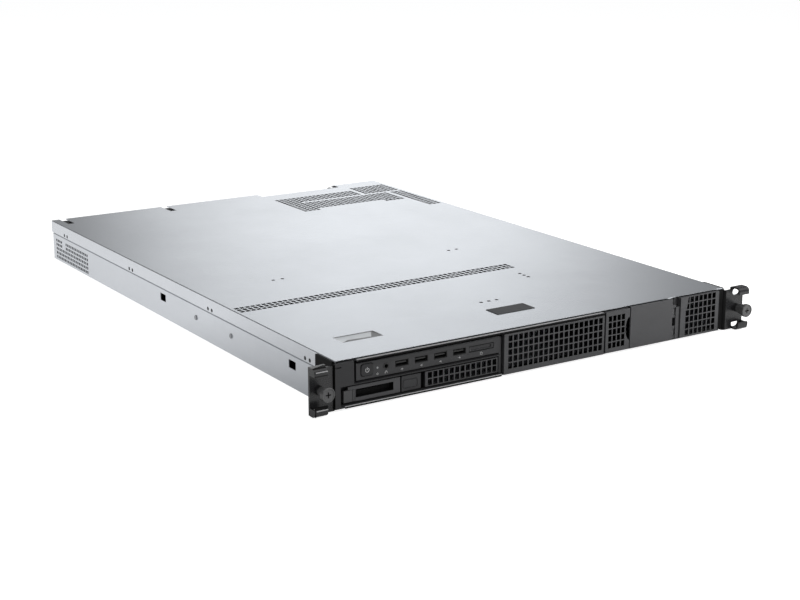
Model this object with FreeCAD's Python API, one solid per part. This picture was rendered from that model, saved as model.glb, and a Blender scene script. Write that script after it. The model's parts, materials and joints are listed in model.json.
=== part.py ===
"""One-unit rack server, modelled as separate pieces in millimetres.

Axes: +X to the right seen from the front, +Y towards the rear, +Z up. The origin is the centre of
the chassis underside. Depths called d run rearwards from the front edge of the top cover.
"""
import math
import os

import FreeCAD
import Part

Vector = FreeCAD.Vector

# ---------------------------------------------------------------- chassis and cover
chassis_width = 432.0
chassis_height = 43.2
chassis_depth = 631.0
sheet = 1.0
round_sides = 12
cover_sheet = 0.8
cover_overhang = 3.0
cover_flange_drop = 13.0
cover_gap = 0.2
joggle = cover_sheet + cover_gap
slide_gap = 0.3
half_width = chassis_width / 2
front_y = -chassis_depth / 2
cover_under = chassis_height - cover_sheet
tray_top = cover_under - 0.4
flange_bottom = chassis_height - cover_flange_drop

# ---------------------------------------------------------------- perforated sheet
perf_pitch = 4.7
perf_hole = 3.0

# ---------------------------------------------------------------- front bulkhead and bezel
bulkhead_d = 2.0
bulkhead_sheet = 1.0
bulkhead_bottom = 0.6
bulkhead_half = half_width - joggle
bezel_front = -4.4
bezel_plate = 1.8
bezel_half = 218.3
bezel_top = 41.8
bezel_bottom = 2.4
rail = 1.0
wall = 1.6
stile_width = 5.4
badge_width = 18.4
mid_rail_top = 22.1
bottom_rail_top = 4.0
right_stile_x = 209.0
stile_recess = 3.9

# ---------------------------------------------------------------- front modules, left to right
io_x = (-196.4, -47.6)
io_z = (23.1, 38.4)
io_front = -1.5
io_stile = 2.6
button_x = -185.9
port_z = 31.2
button_size = (11.8, 10.6)
button_corner = 2.4
button_gap = 0.3
lamp_x = -175.5
lamp_r = 0.9
jack_x = -166.9
jack_r = 1.8
jack_body_r = 2.9
jack_depth = 12.0
usb_x = -151.2
usb_pitch = 19.7
usb_count = 4
usb_opening = (12.5, 4.6)
usb_shell = 0.35
usb_depth = 14.0
port_board_top = port_z - usb_opening[1] / 2 - usb_shell
card_x = (-82.1, -55.9)
card_z = (28.8, 33.6)
fit_gap = 0.2

bay_front = -0.9
bay_z = (5.2, 18.9)
carrier_x = (-208.5, -152.6)
carrier_depth = 120.0
carrier_wall = 1.6
cage_gap = 1.3
latch_x = (-208.5, -197.5)
latch_z = (5.4, 15.9)
recess_x = (-196.6, -159.4)
recess_z = (8.6, 15.8)
recess_depth = 5.0
recess_hole = 1.6
recess_hole_pitch = 3.0
recess_hole_count = 9
blank_x = (-151.2, -131.6)
lower_grille_x = (-127.1, -50.7)

grille_hole = (4.2, 4.4)
grille_pitch = (5.67, 6.34)
grille_z = 7.6
grille_plate = 1.8
main_grille_x = (-46.0, 67.2)
main_grille_front = -4.0
main_grille_cols = 19
side_grille_x = (68.7, 97.0)
side_grille_front = bezel_front
side_grille_cols = 4
side_grille_pitch = 5.12
grille_rows = 5
right_grille_x = (159.8, 208.4)
right_grille_front = -4.0
right_grille_cols = 7
right_grille_rows = 6
right_grille_pitch = 5.56
right_grille_z = 5.1
lower_grille_cols = 13
lower_grille_rows = 2

scoop_width = 4.8
scoop_z = (11.8, 34.0)
scoop_depth = 5.4
scoop_slant = 3.6

door_x = (97.6, 149.4)
door_z = (3.0, 43.0)
door_front = -4.8
door_plate = 1.8
hinge_pin_r = 1.0
hinge_knuckle_r = 2.2
hinge_x = 152.2
hinge_d = -0.4
running_gap = 0.04
knuckle_len = 6.0
lug_len = 3.0
knuckle_z = (6.5, 27.0)
post_x = (150.2, 159.4)
pocket_z = (33.8, 41.4)

# ---------------------------------------------------------------- rack ears
ear_side_gap = 0.2
ear_width = 25.1
slot_inset = 8.75
rack_width = chassis_width + 2 * (ear_side_gap + ear_width)
rack_screw_span = rack_width - 2 * slot_inset
rack_slot_span = 31.75
rack_slot = (10.0, 7.0)
ear_mid_z = 21.9
ear_sheet = 2.3
ear_bend_r = 3.2
ear_z = (1.2, 42.8)
ear_tab_depth = 28.0
ear_notch = (10.0, 40.4)
hood_width = 12.6
hood_reach = 8.4
hood_wall = 1.5
hood_drop = 6.8
hood_round = 4.0
screw_r = 2.9
screw_reach = 11.0
screw_head_r = 6.3
screw_head = 3.6
screw_face = -18.2
screw_waist_r = 5.5
screw_neck_r = 4.0
screw_neck = 3.4
cross_size = (5.0, 1.1)
cross_depth = 1.4

# ---------------------------------------------------------------- side openings and rivets
rail_hole_d = (72.2, 335.2)
rail_hole_size = (12.2, 7.4)
rail_hole_z = 20.9
rivet_d = (187.8, 261.3)
rivet_z = 17.8
rivet_r = 2.4
rivet_head = 0.7
side_vent_d = 530.0
side_vent_z = 2.6
side_vent_cols = 20
side_vent_rows = 5
side_vent_gap = (14, 15)

# ---------------------------------------------------------------- top cover details
grip_x = (-183.5, -142.3)
grip_d = (41.5, 59.5)
grip_depth = 2.2
grip_slope = 5.5
pad_x = (-20.9, 21.1)
pad_d = (40.5, 59.3)
pad_sheet = 0.5
cover_slot_x = (-203.0, -76.8)
cover_slot = (7.4, 28.0)
cover_step_x = (48.0, 152.4)
cover_step = 13.2
cover_screw_x = 147.0
cover_screw_z = 38.3
cover_screw_r = 4.3
cover_tab_drop = 9.5

# ---------------------------------------------------------------- fans
fan_size = 40.0
fan_z = sheet + 0.6 + fan_size / 2
fan_depth = 28.0
fan_pitch = 62.0
fan_count = 5
fan_first_x = -187.0
fan_d = 196.0
fan_bore_r = 18.6
fan_hub_r = 9.0
fan_blade_tip_gap = 1.2
fan_bore_sides = 24
fan_blades = 5
fan_axle_r = 1.5
bracket_sheet = 1.2

# ---------------------------------------------------------------- boards and cooling
board_z = 7.0
board_sheet = 1.6
board_x = (-209.0, 88.0)
board_front_gap = 14.0
board_tail_x = (-60.0, 88.0)
board_tail_d = chassis_depth - 9.0
standoff_r = 3.0
cpu_x = -60.0
sink_size = (90.0, 92.0)
sink_top = 36.0
sink_base = 4.0
sink_fins = 12
fin_sheet = 0.8
socket_size = (62.0, 58.0, 5.0)
dimm_length = 140.0
dimm_front_room = 27.0
dimm_rear_room = 25.0
cpu_d = fan_d + fan_depth + board_front_gap + dimm_front_room + dimm_length / 2
board_d = (fan_d + fan_depth + board_front_gap, cpu_d + dimm_length / 2 + dimm_rear_room)
dimm_pitch = 9.5
dimm_per_bank = 4
dimm_bank_x = (-168.0, 4.0)
dimm_slot = (6.5, 7.5)
dimm_top = 39.0
baffle_sheet = 1.0
baffle_lap = 4.0
baffle_under = dimm_top + 1.0
chipset_x = 30.0
chipset_d = 500.0

# ---------------------------------------------------------------- rear
psu_x = (-211.0, -138.6)
psu_bay_x = (-211.8, -63.0)
psu_z = (1.3, 40.3)
psu_board_gap = 10.0
psu_d = (board_d[1] + psu_board_gap, chassis_depth - 2.0)
psu_gap = 0.4
psu_fan_r = 15.5
inlet_size = (24.6, 17.0)
inlet_depth = 16.0
handle_reach = 21.0
lever_turn_x = -4.0
lever_pin_r = 1.0
rear_top = 41.6
card_box_x = (96.0, 207.0)
card_box_d = (352.0, 612.0)
card_box_z = (9.0, 31.4)
card_fins = 9
riser_d = (470.0, 590.0)
riser_sheet = 1.6
cable_x = -156.0
cable_width = 8.0
cable_thickness = 1.2
cable_bend = 8.0


# ================================================================ helpers
def block(x0, x1, d0, d1, z0, z1):
    """A cuboid between two x values, two depths and two heights."""
    corner = Vector(min(x0, x1), front_y + min(d0, d1), min(z0, z1))
    return Part.makeBox(abs(x1 - x0), abs(d1 - d0), abs(z1 - z0), corner)


def rod(axis, r, x, d, z, length, sides=round_sides):
    """A round bar that starts at a point and runs along +Y or +Z; sides = 0 gives a true cylinder."""
    way = {"y": Vector(0, 1, 0), "z": Vector(0, 0, 1)}[axis]
    start = Vector(x, front_y + d, z)
    if not sides:
        return Part.makeCylinder(r, length, start, way)
    ring = []
    for n in range(sides + 1):
        turn = 2 * math.pi * (n % sides) / sides
        across = Vector(r * math.cos(turn), 0, 0)
        rise = Vector(0, 0, r * math.sin(turn)) if axis == "y" else Vector(0, r * math.sin(turn), 0)
        ring.append(start + across + rise)
    return Part.Face(Part.makePolygon(ring)).extrude(way * length)


def bore_r(r, gap, sides=round_sides):
    """Corner radius of a many-sided bore in which a bar of radius r turns with that gap at the flats."""
    return (r + gap) / math.cos(math.pi / sides)


def front_wire(points, d):
    """A closed wire of (x, z) corners in the plane at depth d."""
    corners = [Vector(x, front_y + d, z) for x, z in points]
    return Part.makePolygon(corners + corners[:1])


def plan_prism(points, z0, z1):
    """A prism over (x, d) corners, from z0 up to z1."""
    corners = [Vector(x, front_y + d, z0) for x, d in points]
    return Part.Face(Part.makePolygon(corners + corners[:1])).extrude(Vector(0, 0, z1 - z0))


def front_prism(points, d0, d1):
    """A prism over (x, z) corners, from depth d0 back to d1."""
    return Part.Face(front_wire(points, d0)).extrude(Vector(0, d1 - d0, 0))


def side_prism(points, x0, x1):
    """A prism over (d, z) corners, from x0 to x1."""
    corners = [Vector(x0, front_y + d, z) for d, z in points]
    return Part.Face(Part.makePolygon(corners + corners[:1])).extrude(Vector(x1 - x0, 0, 0))


def rect(x0, x1, z0, z1):
    return [(x0, z0), (x1, z0), (x1, z1), (x0, z1)]


def arc_points(cx, cy, r, start, stop, steps):
    """Points along an arc, both ends included, angles in degrees."""
    return [(cx + r * math.cos(math.radians(start + (stop - start) * n / steps)),
             cy + r * math.sin(math.radians(start + (stop - start) * n / steps)))
            for n in range(steps + 1)]


def rounded_bar(x, z, size, r, d0, d1):
    """A bar along the depth with a rounded rectangular section centred on (x, z)."""
    outline = []
    for side, end, start in ((1, 1, 0), (-1, 1, 90), (-1, -1, 180), (1, -1, 270)):
        cx = x + side * (size[0] / 2 - r)
        cz = z + end * (size[1] / 2 - r)
        outline += arc_points(cx, cz, r, start, start + 90, round_sides // 4)
    return front_prism(outline, d0, d1)


def pierced(outline, holes, d0, d1):
    """A flat plate with a polygon outline and polygon holes, both as (x, z) corners."""
    wires = [front_wire(outline, d0)] + [front_wire(hole, d0) for hole in holes]
    return Part.makeFace(wires, "Part::FaceMakerBullseye").extrude(Vector(0, d1 - d0, 0))


def grid(x0, z0, cols, rows, pitch, size):
    """Rectangular holes in columns and rows, the first with its low corner at (x0, z0)."""
    cells = []
    for row in range(rows):
        for col in range(cols):
            x = x0 + col * pitch[0]
            z = z0 + row * pitch[1]
            cells.append(rect(x, x + size[0], z, z + size[1]))
    return cells


def fused(shapes):
    body = shapes[0]
    for shape in shapes[1:]:
        body = body.fuse(shape)
    return body.removeSplitter()


def mirrored(shape):
    return shape.mirror(Vector(0, 0, 0), Vector(1, 0, 0))


def turned(profile, x, z, sides=round_sides):
    """A many-sided turned piece about an axis along Y through (x, z), from (radius, d) stations."""
    rings = []
    for r, d in profile:
        ring = arc_points(x, z, r, 0, 360 - 360 / sides, sides - 1)
        rings.append([Vector(px, front_y + d, pz) for px, pz in ring])
    faces = [Part.Face(Part.makePolygon(ring + ring[:1])) for ring in (rings[0], rings[-1])]
    for near, far in zip(rings, rings[1:]):
        for n in range(sides):
            m = (n + 1) % sides
            faces.append(Part.Face(Part.makePolygon([near[n], near[m], far[m], far[n], near[n]])))
    return Part.Solid(Part.Shell(faces))


def ribbon(points, x, width, thickness, bend):
    """A flat cable through corner points (d, z), its straight runs joined by tangent arcs."""
    centre = [points[0]]
    for before, corner, after in zip(points, points[1:], points[2:]):
        turn0 = math.atan2(corner[1] - before[1], corner[0] - before[0])
        turn1 = math.atan2(after[1] - corner[1], after[0] - corner[0])
        setback = bend * abs(math.tan((turn1 - turn0) / 2))
        sign = 1 if turn1 > turn0 else -1
        start = (corner[0] - setback * math.cos(turn0), corner[1] - setback * math.sin(turn0))
        middle = (start[0] - sign * bend * math.sin(turn0), start[1] + sign * bend * math.cos(turn0))
        centre += arc_points(middle[0], middle[1], bend, math.degrees(turn0) - sign * 90,
                             math.degrees(turn1) - sign * 90, 4)
    centre.append(points[-1])
    upper, lower = [], []
    for n, (d, z) in enumerate(centre):
        before, after = centre[max(n - 1, 0)], centre[min(n + 1, len(centre) - 1)]
        way = math.atan2(after[1] - before[1], after[0] - before[0])
        shift = (-math.sin(way) * thickness / 2, math.cos(way) * thickness / 2)
        upper.append((d + shift[0], z + shift[1]))
        lower.append((d - shift[0], z - shift[1]))
    return side_prism(upper + lower[::-1], x - width / 2, x + width / 2)


# ================================================================ chassis
def chassis_tray():
    """Folded tray: floor and two side walls that step inwards behind the cover's flanges."""
    step_z = flange_bottom - cover_gap
    right = [
        (half_width, 0),
        (half_width, step_z - joggle),
        (half_width - joggle, step_z),
        (half_width - joggle, tray_top),
        (half_width - joggle - sheet, tray_top),
        (half_width - joggle - sheet, step_z - 0.4),
        (half_width - sheet, step_z - joggle - 0.4),
        (half_width - sheet, sheet),
    ]
    left = [(-x, z) for x, z in reversed(right)]
    tray = front_prism(right + left, bulkhead_d + bulkhead_sheet, chassis_depth)
    cuts = []
    for side in (-1, 1):
        for d in rail_hole_d:
            x0, x1 = side * (half_width - 3), side * (half_width + 1)
            z0 = rail_hole_z - rail_hole_size[1] / 2
            cuts.append(block(x0, x1, d - rail_hole_size[0] / 2, d + rail_hole_size[0] / 2,
                              z0, z0 + rail_hole_size[1]))
    for row in range(side_vent_rows):
        for col in range(side_vent_cols):
            if row < 3 or col not in side_vent_gap:
                d = side_vent_d + col * perf_pitch
                z = side_vent_z + row * perf_pitch
                cuts.append(block(-half_width - 1, -half_width + 3, d, d + perf_hole, z, z + perf_hole))
    return tray.cut(Part.makeCompound(cuts))


def front_bulkhead():
    """Black sheet behind the bezel: a window behind each grille, bay and door, a notch for the sockets."""
    windows = [
        rect(lower_grille_x[0] + 2, lower_grille_x[1] - 2, bay_z[0] + 1, bay_z[1] - 1),
        rect(main_grille_x[0] + 3, main_grille_x[1] - 3, grille_z - 1, 38.0),
        rect(side_grille_x[0] + 3, side_grille_x[1] - scoop_width - 1.0, grille_z - 1, 38.0),
        rect(door_x[0] + 2, post_x[0] - 1.2, 4.0, tray_top - 1.5),
        rect(right_grille_x[0] + 5, right_grille_x[1] - 1.6, right_grille_z - 1, 39.6),
        rect(carrier_x[0] - slide_gap, carrier_x[1] + slide_gap,
             bay_z[0] - slide_gap, bay_z[1] + slide_gap),
    ]
    notch0, notch1 = button_x - 4, usb_x + (usb_count - 1) * usb_pitch + 8
    notch_z = port_z - button_size[1] / 2
    outline = [
        (-bulkhead_half, bulkhead_bottom), (bulkhead_half, bulkhead_bottom),
        (bulkhead_half, tray_top), (notch1, tray_top), (notch1, notch_z), (notch0, notch_z),
        (notch0, tray_top), (-bulkhead_half, tray_top),
    ]
    return pierced(outline, windows, bulkhead_d, bulkhead_d + bulkhead_sheet)


def top_cover():
    """Cover sheet with side flanges, a pressed finger grip, hold-down slots and a stepped rear."""
    rear = chassis_depth + cover_overhang
    step0, step1 = cover_step_x
    outline = [
        (-half_width, 0), (half_width, 0), (half_width, rear), (step1, rear),
        (step1, rear - cover_step), (step0, rear - cover_step), (step0, rear), (-half_width, rear),
    ]
    sheet_top = plan_prism(outline, cover_under, chassis_height)
    parts = [sheet_top]
    for side in (-1, 1):
        parts.append(block(side * (half_width - cover_sheet), side * half_width,
                           0, rear, flange_bottom, cover_under))
    tab_d = rear - cover_step
    parts.append(block(step0 + 1, step1 - 1, tab_d - cover_sheet, tab_d,
                       chassis_height - cover_tab_drop, cover_under))
    cover = fused(parts)
    cuts = [rod("y", cover_screw_r - 2.1, cover_screw_x, tab_d - 2, cover_screw_z, 4)]
    for x in cover_slot_x:
        cuts.append(block(x - cover_slot[0] / 2, x + cover_slot[0] / 2, rear - cover_slot[1], rear + 1,
                          cover_under - 1, chassis_height + 1))
    cuts.append(grip_form(0, chassis_height + 1))
    cover = cover.cut(Part.makeCompound(cuts))
    dish = grip_form(cover_sheet, chassis_height).cut(grip_form(0, chassis_height + 1))
    return cover.fuse(dish).removeSplitter()


def grip_form(grow, top):
    """The pressed grip's inner space, or its outer skin when grown by the sheet."""
    x0, x1 = grip_x
    floor = chassis_height - grip_depth - grow
    lean = grow * 0.6
    profile = [
        (x0 - lean, chassis_height), (x0 + grip_slope - lean, floor),
        (x1 - grip_slope + lean, floor), (x1 + lean, chassis_height),
    ]
    form = front_prism(profile, grip_d[0] - grow, grip_d[1] + grow)
    if top > chassis_height:
        form = form.fuse(block(x0, x1, grip_d[0], grip_d[1], chassis_height, top))
    return form


def cover_pad():
    """Thin dark pad bonded on the cover, the same size as the finger grip."""
    return block(pad_x[0], pad_x[1], pad_d[0], pad_d[1], chassis_height, chassis_height + pad_sheet)


def side_rivets():
    """Flat rivet heads that hold the fan bracket to the side walls."""
    heads = []
    for side in (-1, 1):
        for d in rivet_d:
            rim = [(d + a, z) for a, z in arc_points(0, rivet_z, rivet_r, 0, 330, 11)]
            heads.append(side_prism(rim, side * half_width, side * (half_width + rivet_head)))
    return Part.makeCompound(heads)


# ================================================================ bezel
def bezel_frame():
    """Black front frame: badge plate and stile at the left, thin rails that part the bays."""
    back = bezel_front + bezel_plate
    left = -bezel_half
    stile = left + stile_width
    badge = left + badge_width
    deep = bulkhead_d
    ledge = stile_recess + bezel_front
    bars = [
        block(left, stile, bezel_front, back, bezel_bottom, bezel_top),
        block(left, badge, bezel_front, back, mid_rail_top - rail, bezel_top),
        block(-bulkhead_half + 0.1, stile, back, deep, bezel_bottom, bezel_top),
        block(badge - wall, badge, back, deep, mid_rail_top - rail, bezel_top),
        block(-bulkhead_half + 0.1, badge, back, deep, bezel_top - rail, bezel_top),
        block(badge, io_x[0] - 1, ledge, deep, bezel_top - rail, bezel_top),
        block(io_x[0] - 1, main_grille_x[1] + 0.3, bezel_front, deep, bezel_top - rail, bezel_top),
        block(badge - 1, io_x[1] - io_stile - fit_gap, bezel_front, deep, mid_rail_top - rail,
              mid_rail_top),
        block(left, badge, bezel_front, back, bezel_bottom, bottom_rail_top),
        block(-bulkhead_half + 0.1, badge, back, deep, bezel_bottom, bottom_rail_top),
        block(badge - 1, io_x[1] - 1, bezel_front, deep, bezel_bottom, bottom_rail_top),
        block(io_x[1] - 1, right_stile_x, ledge, deep, bezel_bottom, bottom_rail_top - 1),
        block(right_stile_x, bulkhead_half, ledge, deep, bezel_bottom, bezel_top),
    ]
    frame = fused(bars)
    slot_z = bezel_top - 3.4
    slot = block(left - 1, stile + 0.4, bezel_front - 1, bezel_front + 1.2, slot_z - 0.6, slot_z + 0.6)
    return frame.cut(slot)


def io_panel():
    """Recessed panel that carries the button, lamp and sockets, with a leg down its right end."""
    outline = [
        (io_x[0], io_z[0]), (io_x[1] - io_stile, io_z[0]), (io_x[1] - io_stile, bottom_rail_top),
        (io_x[1], bottom_rail_top), (io_x[1], io_z[1] - 1.5), (io_x[1] - 1.5, io_z[1]),
        (io_x[0], io_z[1]),
    ]
    panel = pierced(outline, [], io_front, bulkhead_d)
    cuts = []
    gap_size = (button_size[0] + 2 * button_gap, button_size[1] + 2 * button_gap)
    cuts.append(rounded_bar(button_x, port_z, gap_size, button_corner, io_front - 1, bulkhead_d + 1))
    cuts.append(rod("y", lamp_r + 0.05, lamp_x, io_front - 1, port_z, 6))
    cuts.append(rod("y", jack_body_r + 0.05, jack_x, io_front - 1, port_z, 6))
    shell = (usb_opening[0] + 2 * usb_shell, usb_opening[1] + 2 * usb_shell)
    for n in range(usb_count):
        x = usb_x + n * usb_pitch
        cuts.append(block(x - shell[0] / 2 - 0.1, x + shell[0] / 2 + 0.1, io_front - 1, bulkhead_d + 1,
                          port_z - shell[1] / 2 - 0.1, port_z + shell[1] / 2 + 0.1))
    card = (card_x[1] - card_x[0], card_z[1] - card_z[0])
    middle = ((card_x[0] + card_x[1]) / 2, (card_z[0] + card_z[1]) / 2)
    cuts.append(rounded_bar(middle[0], middle[1], card, 1.6, io_front - 1, io_front + 1.8))
    return panel.cut(Part.makeCompound(cuts))


def status_lamp():
    """Light pipe with its lamp on the port board."""
    pipe = rod("y", lamp_r, lamp_x, io_front - 0.1, port_z, 7)
    lamp = block(lamp_x - 1.4, lamp_x + 1.4, 5, 8, port_board_top, port_z + 1.6)
    return fused([pipe, lamp])


def headset_jack():
    """Barrel with a blind bore, in a body that stands on the port board."""
    barrel = rod("y", jack_body_r, jack_x, io_front - 0.2, port_z, 5)
    body = block(jack_x - 3.3, jack_x + 3.3, 3.2, 14, port_board_top, port_z + 3.2)
    bore = rod("y", jack_r, jack_x, io_front - 1, port_z, jack_depth + 0.8, sides=0)
    return fused([barrel, body]).cut(bore)


def socket_shell(x, z, size, shell, d0, d1, tongue):
    """Metal socket shell open at d0, closed at d1, with a contact tongue."""
    outer = block(x - size[0] / 2 - shell, x + size[0] / 2 + shell, d0, d1,
                  z - size[1] / 2 - shell, z + size[1] / 2 + shell)
    back = d1 - 1 if d1 > d0 else d1 + 1
    inner = block(x - size[0] / 2, x + size[0] / 2, d0 - (d1 - d0) * 0.1, back,
                  z - size[1] / 2, z + size[1] / 2)
    body = outer.cut(inner)
    if tongue:
        start = d0 + (1.2 if d1 > d0 else -1.2)
        body = body.fuse(block(x - size[0] / 2 + 1, x + size[0] / 2 - 1, start, back,
                               z - 0.2, z + tongue - 0.2))
    return body


def usb_ports():
    """Row of front data sockets."""
    shells = []
    for n in range(usb_count):
        shells.append(socket_shell(usb_x + n * usb_pitch, port_z, usb_opening, usb_shell,
                                   io_front + 0.2, usb_depth, 1.5))
    return Part.makeCompound(shells)


def card_reader():
    """Memory-card slot plate set in its rounded recess."""
    x = (card_x[0] + card_x[1]) / 2
    z = (card_z[0] + card_z[1]) / 2
    size = (card_x[1] - card_x[0] - 2 * fit_gap, card_z[1] - card_z[0] - 2 * fit_gap)
    plate = rounded_bar(x, z, size, 1.4, io_front + 0.3, io_front + 1.8)
    return plate.cut(block(x - 11, x + 11, io_front, io_front + 1.4, z - 1.2, z + 1.2))


def port_board():
    """Board under the front sockets, with the push switch behind the power button."""
    board = block(-192.0, -58.0, 4.0, 46.0, port_board_top - board_sheet, port_board_top)
    switch = block(button_x - 3.5, button_x + 3.5, 8.4, 15, port_board_top, port_z + 3)
    plug = block(cable_x - 5, cable_x + 5, 36, 46, port_board_top, port_board_top + 6)
    return fused([board, switch, plug])


def framed_grille(x, z, front, holes, foot):
    """Grille plate with a rim that runs back to the bulkhead."""
    plate = pierced(rect(x[0], x[1], z[0], z[1]), holes, front, front + grille_plate)
    rim = pierced(rect(x[0], x[1], foot, z[1]),
                  [rect(x[0] + 1.4, x[1] - 1.4, foot + 1.4, z[1] - 1.4)],
                  front + grille_plate, bulkhead_d)
    return plate.fuse(rim).removeSplitter()


def lower_grille():
    """Small two-row grille beside the carrier bay."""
    holes = grid(lower_grille_x[0] + 2.7, bay_z[0] + 1.5, lower_grille_cols, lower_grille_rows,
                 grille_pitch, grille_hole)
    return framed_grille(lower_grille_x, bay_z, bay_front, holes, bay_z[0])


def main_grille():
    """Wide intake grille in the middle of the front."""
    holes = grid(main_grille_x[0] + 4.6, grille_z, main_grille_cols, grille_rows,
                 grille_pitch, grille_hole)
    return framed_grille(main_grille_x, (2.5, 39.6), main_grille_front, holes, bottom_rail_top)


def side_grille():
    """Narrow grille with a half-moon finger scoop beside the door's free edge."""
    holes = grid(side_grille_x[0] + 3.2, grille_z, side_grille_cols, grille_rows,
                 (side_grille_pitch, grille_pitch[1]), (3.8, grille_hole[1]))
    body = framed_grille(side_grille_x, (3.1, bezel_top), side_grille_front, holes, bottom_rail_top)
    right = side_grille_x[1]
    middle = (scoop_z[0] + scoop_z[1]) / 2
    half = (scoop_z[1] - scoop_z[0]) / 2
    moon = [(right + 1, scoop_z[0])]
    for n in range(9):
        turn = math.radians(-90 + n * 22.5)
        moon.append((right - scoop_width * math.cos(turn), middle + half * math.sin(turn)))
    moon.append((right + 1, scoop_z[1]))
    body = body.cut(front_prism(moon, side_grille_front - 1, bulkhead_d - 1))
    floor_d = side_grille_front + scoop_depth
    dish = plan_prism([(right - scoop_width, side_grille_front + 1.0), (right, floor_d - 1.2),
                       (right, floor_d), (right - scoop_width, side_grille_front + 2.4)],
                      scoop_z[0], scoop_z[1])
    return body.fuse(dish).removeSplitter()


def right_grille():
    """Grille at the right end, its top left corner holes cut to a slant."""
    holes = grid(right_grille_x[0] + 6.5, right_grille_z, right_grille_cols, right_grille_rows,
                 (right_grille_pitch, 6.3), grille_hole)
    x0 = right_grille_x[0] + 6.5
    for n in (right_grille_cols * 4, right_grille_cols * 5):
        z = holes[n][0][1]
        lean = 1.2 if n == right_grille_cols * 4 else 2.2
        holes[n] = [(x0 + lean, z), (x0 + grille_hole[0], z), (x0 + grille_hole[0], z + grille_hole[1]),
                    (x0 + lean + 1.0, z + grille_hole[1])]
    return framed_grille(right_grille_x, (3.0, 42.0), right_grille_front, holes, bottom_rail_top)


def blank_plug():
    """Filler beside the carrier with a shallow rounded outline on its face."""
    body = block(blank_x[0], blank_x[1], bay_front, bulkhead_d, bay_z[0], bay_z[1])
    x = blank_x[0] + 8.6
    z = bay_z[0] + 6.2
    outer = rounded_bar(x, z, (14.8, 7.8), 1.4, bay_front - 1, bay_front + 0.5)
    inner = rounded_bar(x, z, (13.8, 6.8), 1.0, bay_front - 2, bay_front + 1)
    return body.cut(outer.cut(inner))


def carrier_cage():
    """Sheet sleeve round the carrier, with its rear socket."""
    x0, x1 = carrier_x[0] - cage_gap, carrier_x[1] + cage_gap
    z0, z1 = sheet, bay_z[1] + cage_gap
    rear = carrier_depth + 8
    front = bulkhead_d + bulkhead_sheet
    sleeve = block(x0, x1, front, rear, z0, z1)
    bay = block(x0 + 0.8, x1 - 0.8, front - 1, rear - 0.8, bay_z[0] - 0.5, z1 - 0.8)
    under = block(x0 + 0.8, x1 - 0.8, front - 1, rear + 1, z0 - 1, bay_z[0] - 1.3)
    shell = sleeve.cut(Part.makeCompound([bay, under]))
    socket = block(-190, x1 - 0.8, carrier_depth + 1, rear - 0.8, bay_z[0] - 0.5, bay_z[0] + 7)
    return shell.fuse(socket)


def power_button():
    """Rounded square push button with its stem."""
    cap = rounded_bar(button_x, port_z, button_size, button_corner, io_front - 0.7, 0.8)
    stem = block(button_x - 3.4, button_x + 3.4, 0.8, 7.2, port_z - 2.4, port_z + 2.4)
    return fused([cap, stem])


def drive_carrier():
    """Slide-in tray with a deep finger recess and a vented face."""
    x0, x1 = carrier_x
    z0, z1 = bay_z
    face_back = 6.2
    face = block(x0, x1, bay_front, face_back, z0, z1)
    cuts = [block(recess_x[0], recess_x[1], bay_front - 1, bay_front + recess_depth,
                  recess_z[0], recess_z[1])]
    for n in range(recess_hole_count):
        x = recess_x[0] + 3.2 + n * recess_hole_pitch
        cuts.append(block(x, x + recess_hole, bay_front, face_back + 1,
                          recess_z[1] - 3.0, recess_z[1] - 3.0 + recess_hole))
    cuts.append(block(x0 - 1, latch_x[1] + fit_gap, bay_front - 1, bay_front + 5,
                      z0 - 1, latch_z[1] + fit_gap))
    cuts.append(block(x0 - 1, x0 + 4.4, bay_front - 1, bay_front + 5, latch_z[1], z1 + 1))
    face = face.cut(Part.makeCompound(cuts))
    floor = block(x0, x1, face_back, carrier_depth, z0, z0 + carrier_wall)
    sides = [block(x0, x0 + carrier_wall, face_back, carrier_depth, z0, z1 - 3),
             block(x1 - carrier_wall, x1, face_back, carrier_depth, z0, z1 - 3)]
    return fused([face, floor] + sides)


def carrier_latch():
    """Sprung release tab at the carrier's left end."""
    tab = block(latch_x[0] + 0.2, latch_x[1], bay_front, bay_front + 3, latch_z[0], latch_z[1])
    groove = block(latch_x[1] - 2.4, latch_x[1] - 1.8, bay_front - 1, bay_front + 0.5,
                   latch_z[0] - 1, latch_z[1] + 1)
    return tab.cut(groove)


def solid_state_drive():
    """Memory stick on the carrier tray, with its chips and edge contacts."""
    x = (carrier_x[0] + carrier_x[1]) / 2
    z = bay_z[0] + carrier_wall
    parts = [block(x - 11, x + 11, 30, 116, z, z + 1.2)]
    for n in range(4):
        parts.append(block(x - 8, x + 8, 36 + n * 19, 51 + n * 19, z + 1.2, z + 2.6))
    return fused(parts)


def hinge_post():
    """Fixed post with four lugs and the two pins that the door turns on."""
    parts = [block(hinge_x + 2.5, post_x[1], -2.8, bulkhead_d, 3.0, pocket_z[0])]
    for z in knuckle_z:
        for low in (z - lug_len - 0.2, z + knuckle_len + 0.2):
            parts.append(block(post_x[0], hinge_x + 3, hinge_d - 1.8, hinge_d + 2.2, low, low + lug_len))
        parts.append(rod("z", hinge_pin_r, hinge_x, hinge_d, z - 1, knuckle_len + 2))
    parts.append(block(post_x[0] + 4.4, post_x[1], 0.6, bulkhead_d, pocket_z[0], pocket_z[1]))
    return fused(parts)


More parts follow.
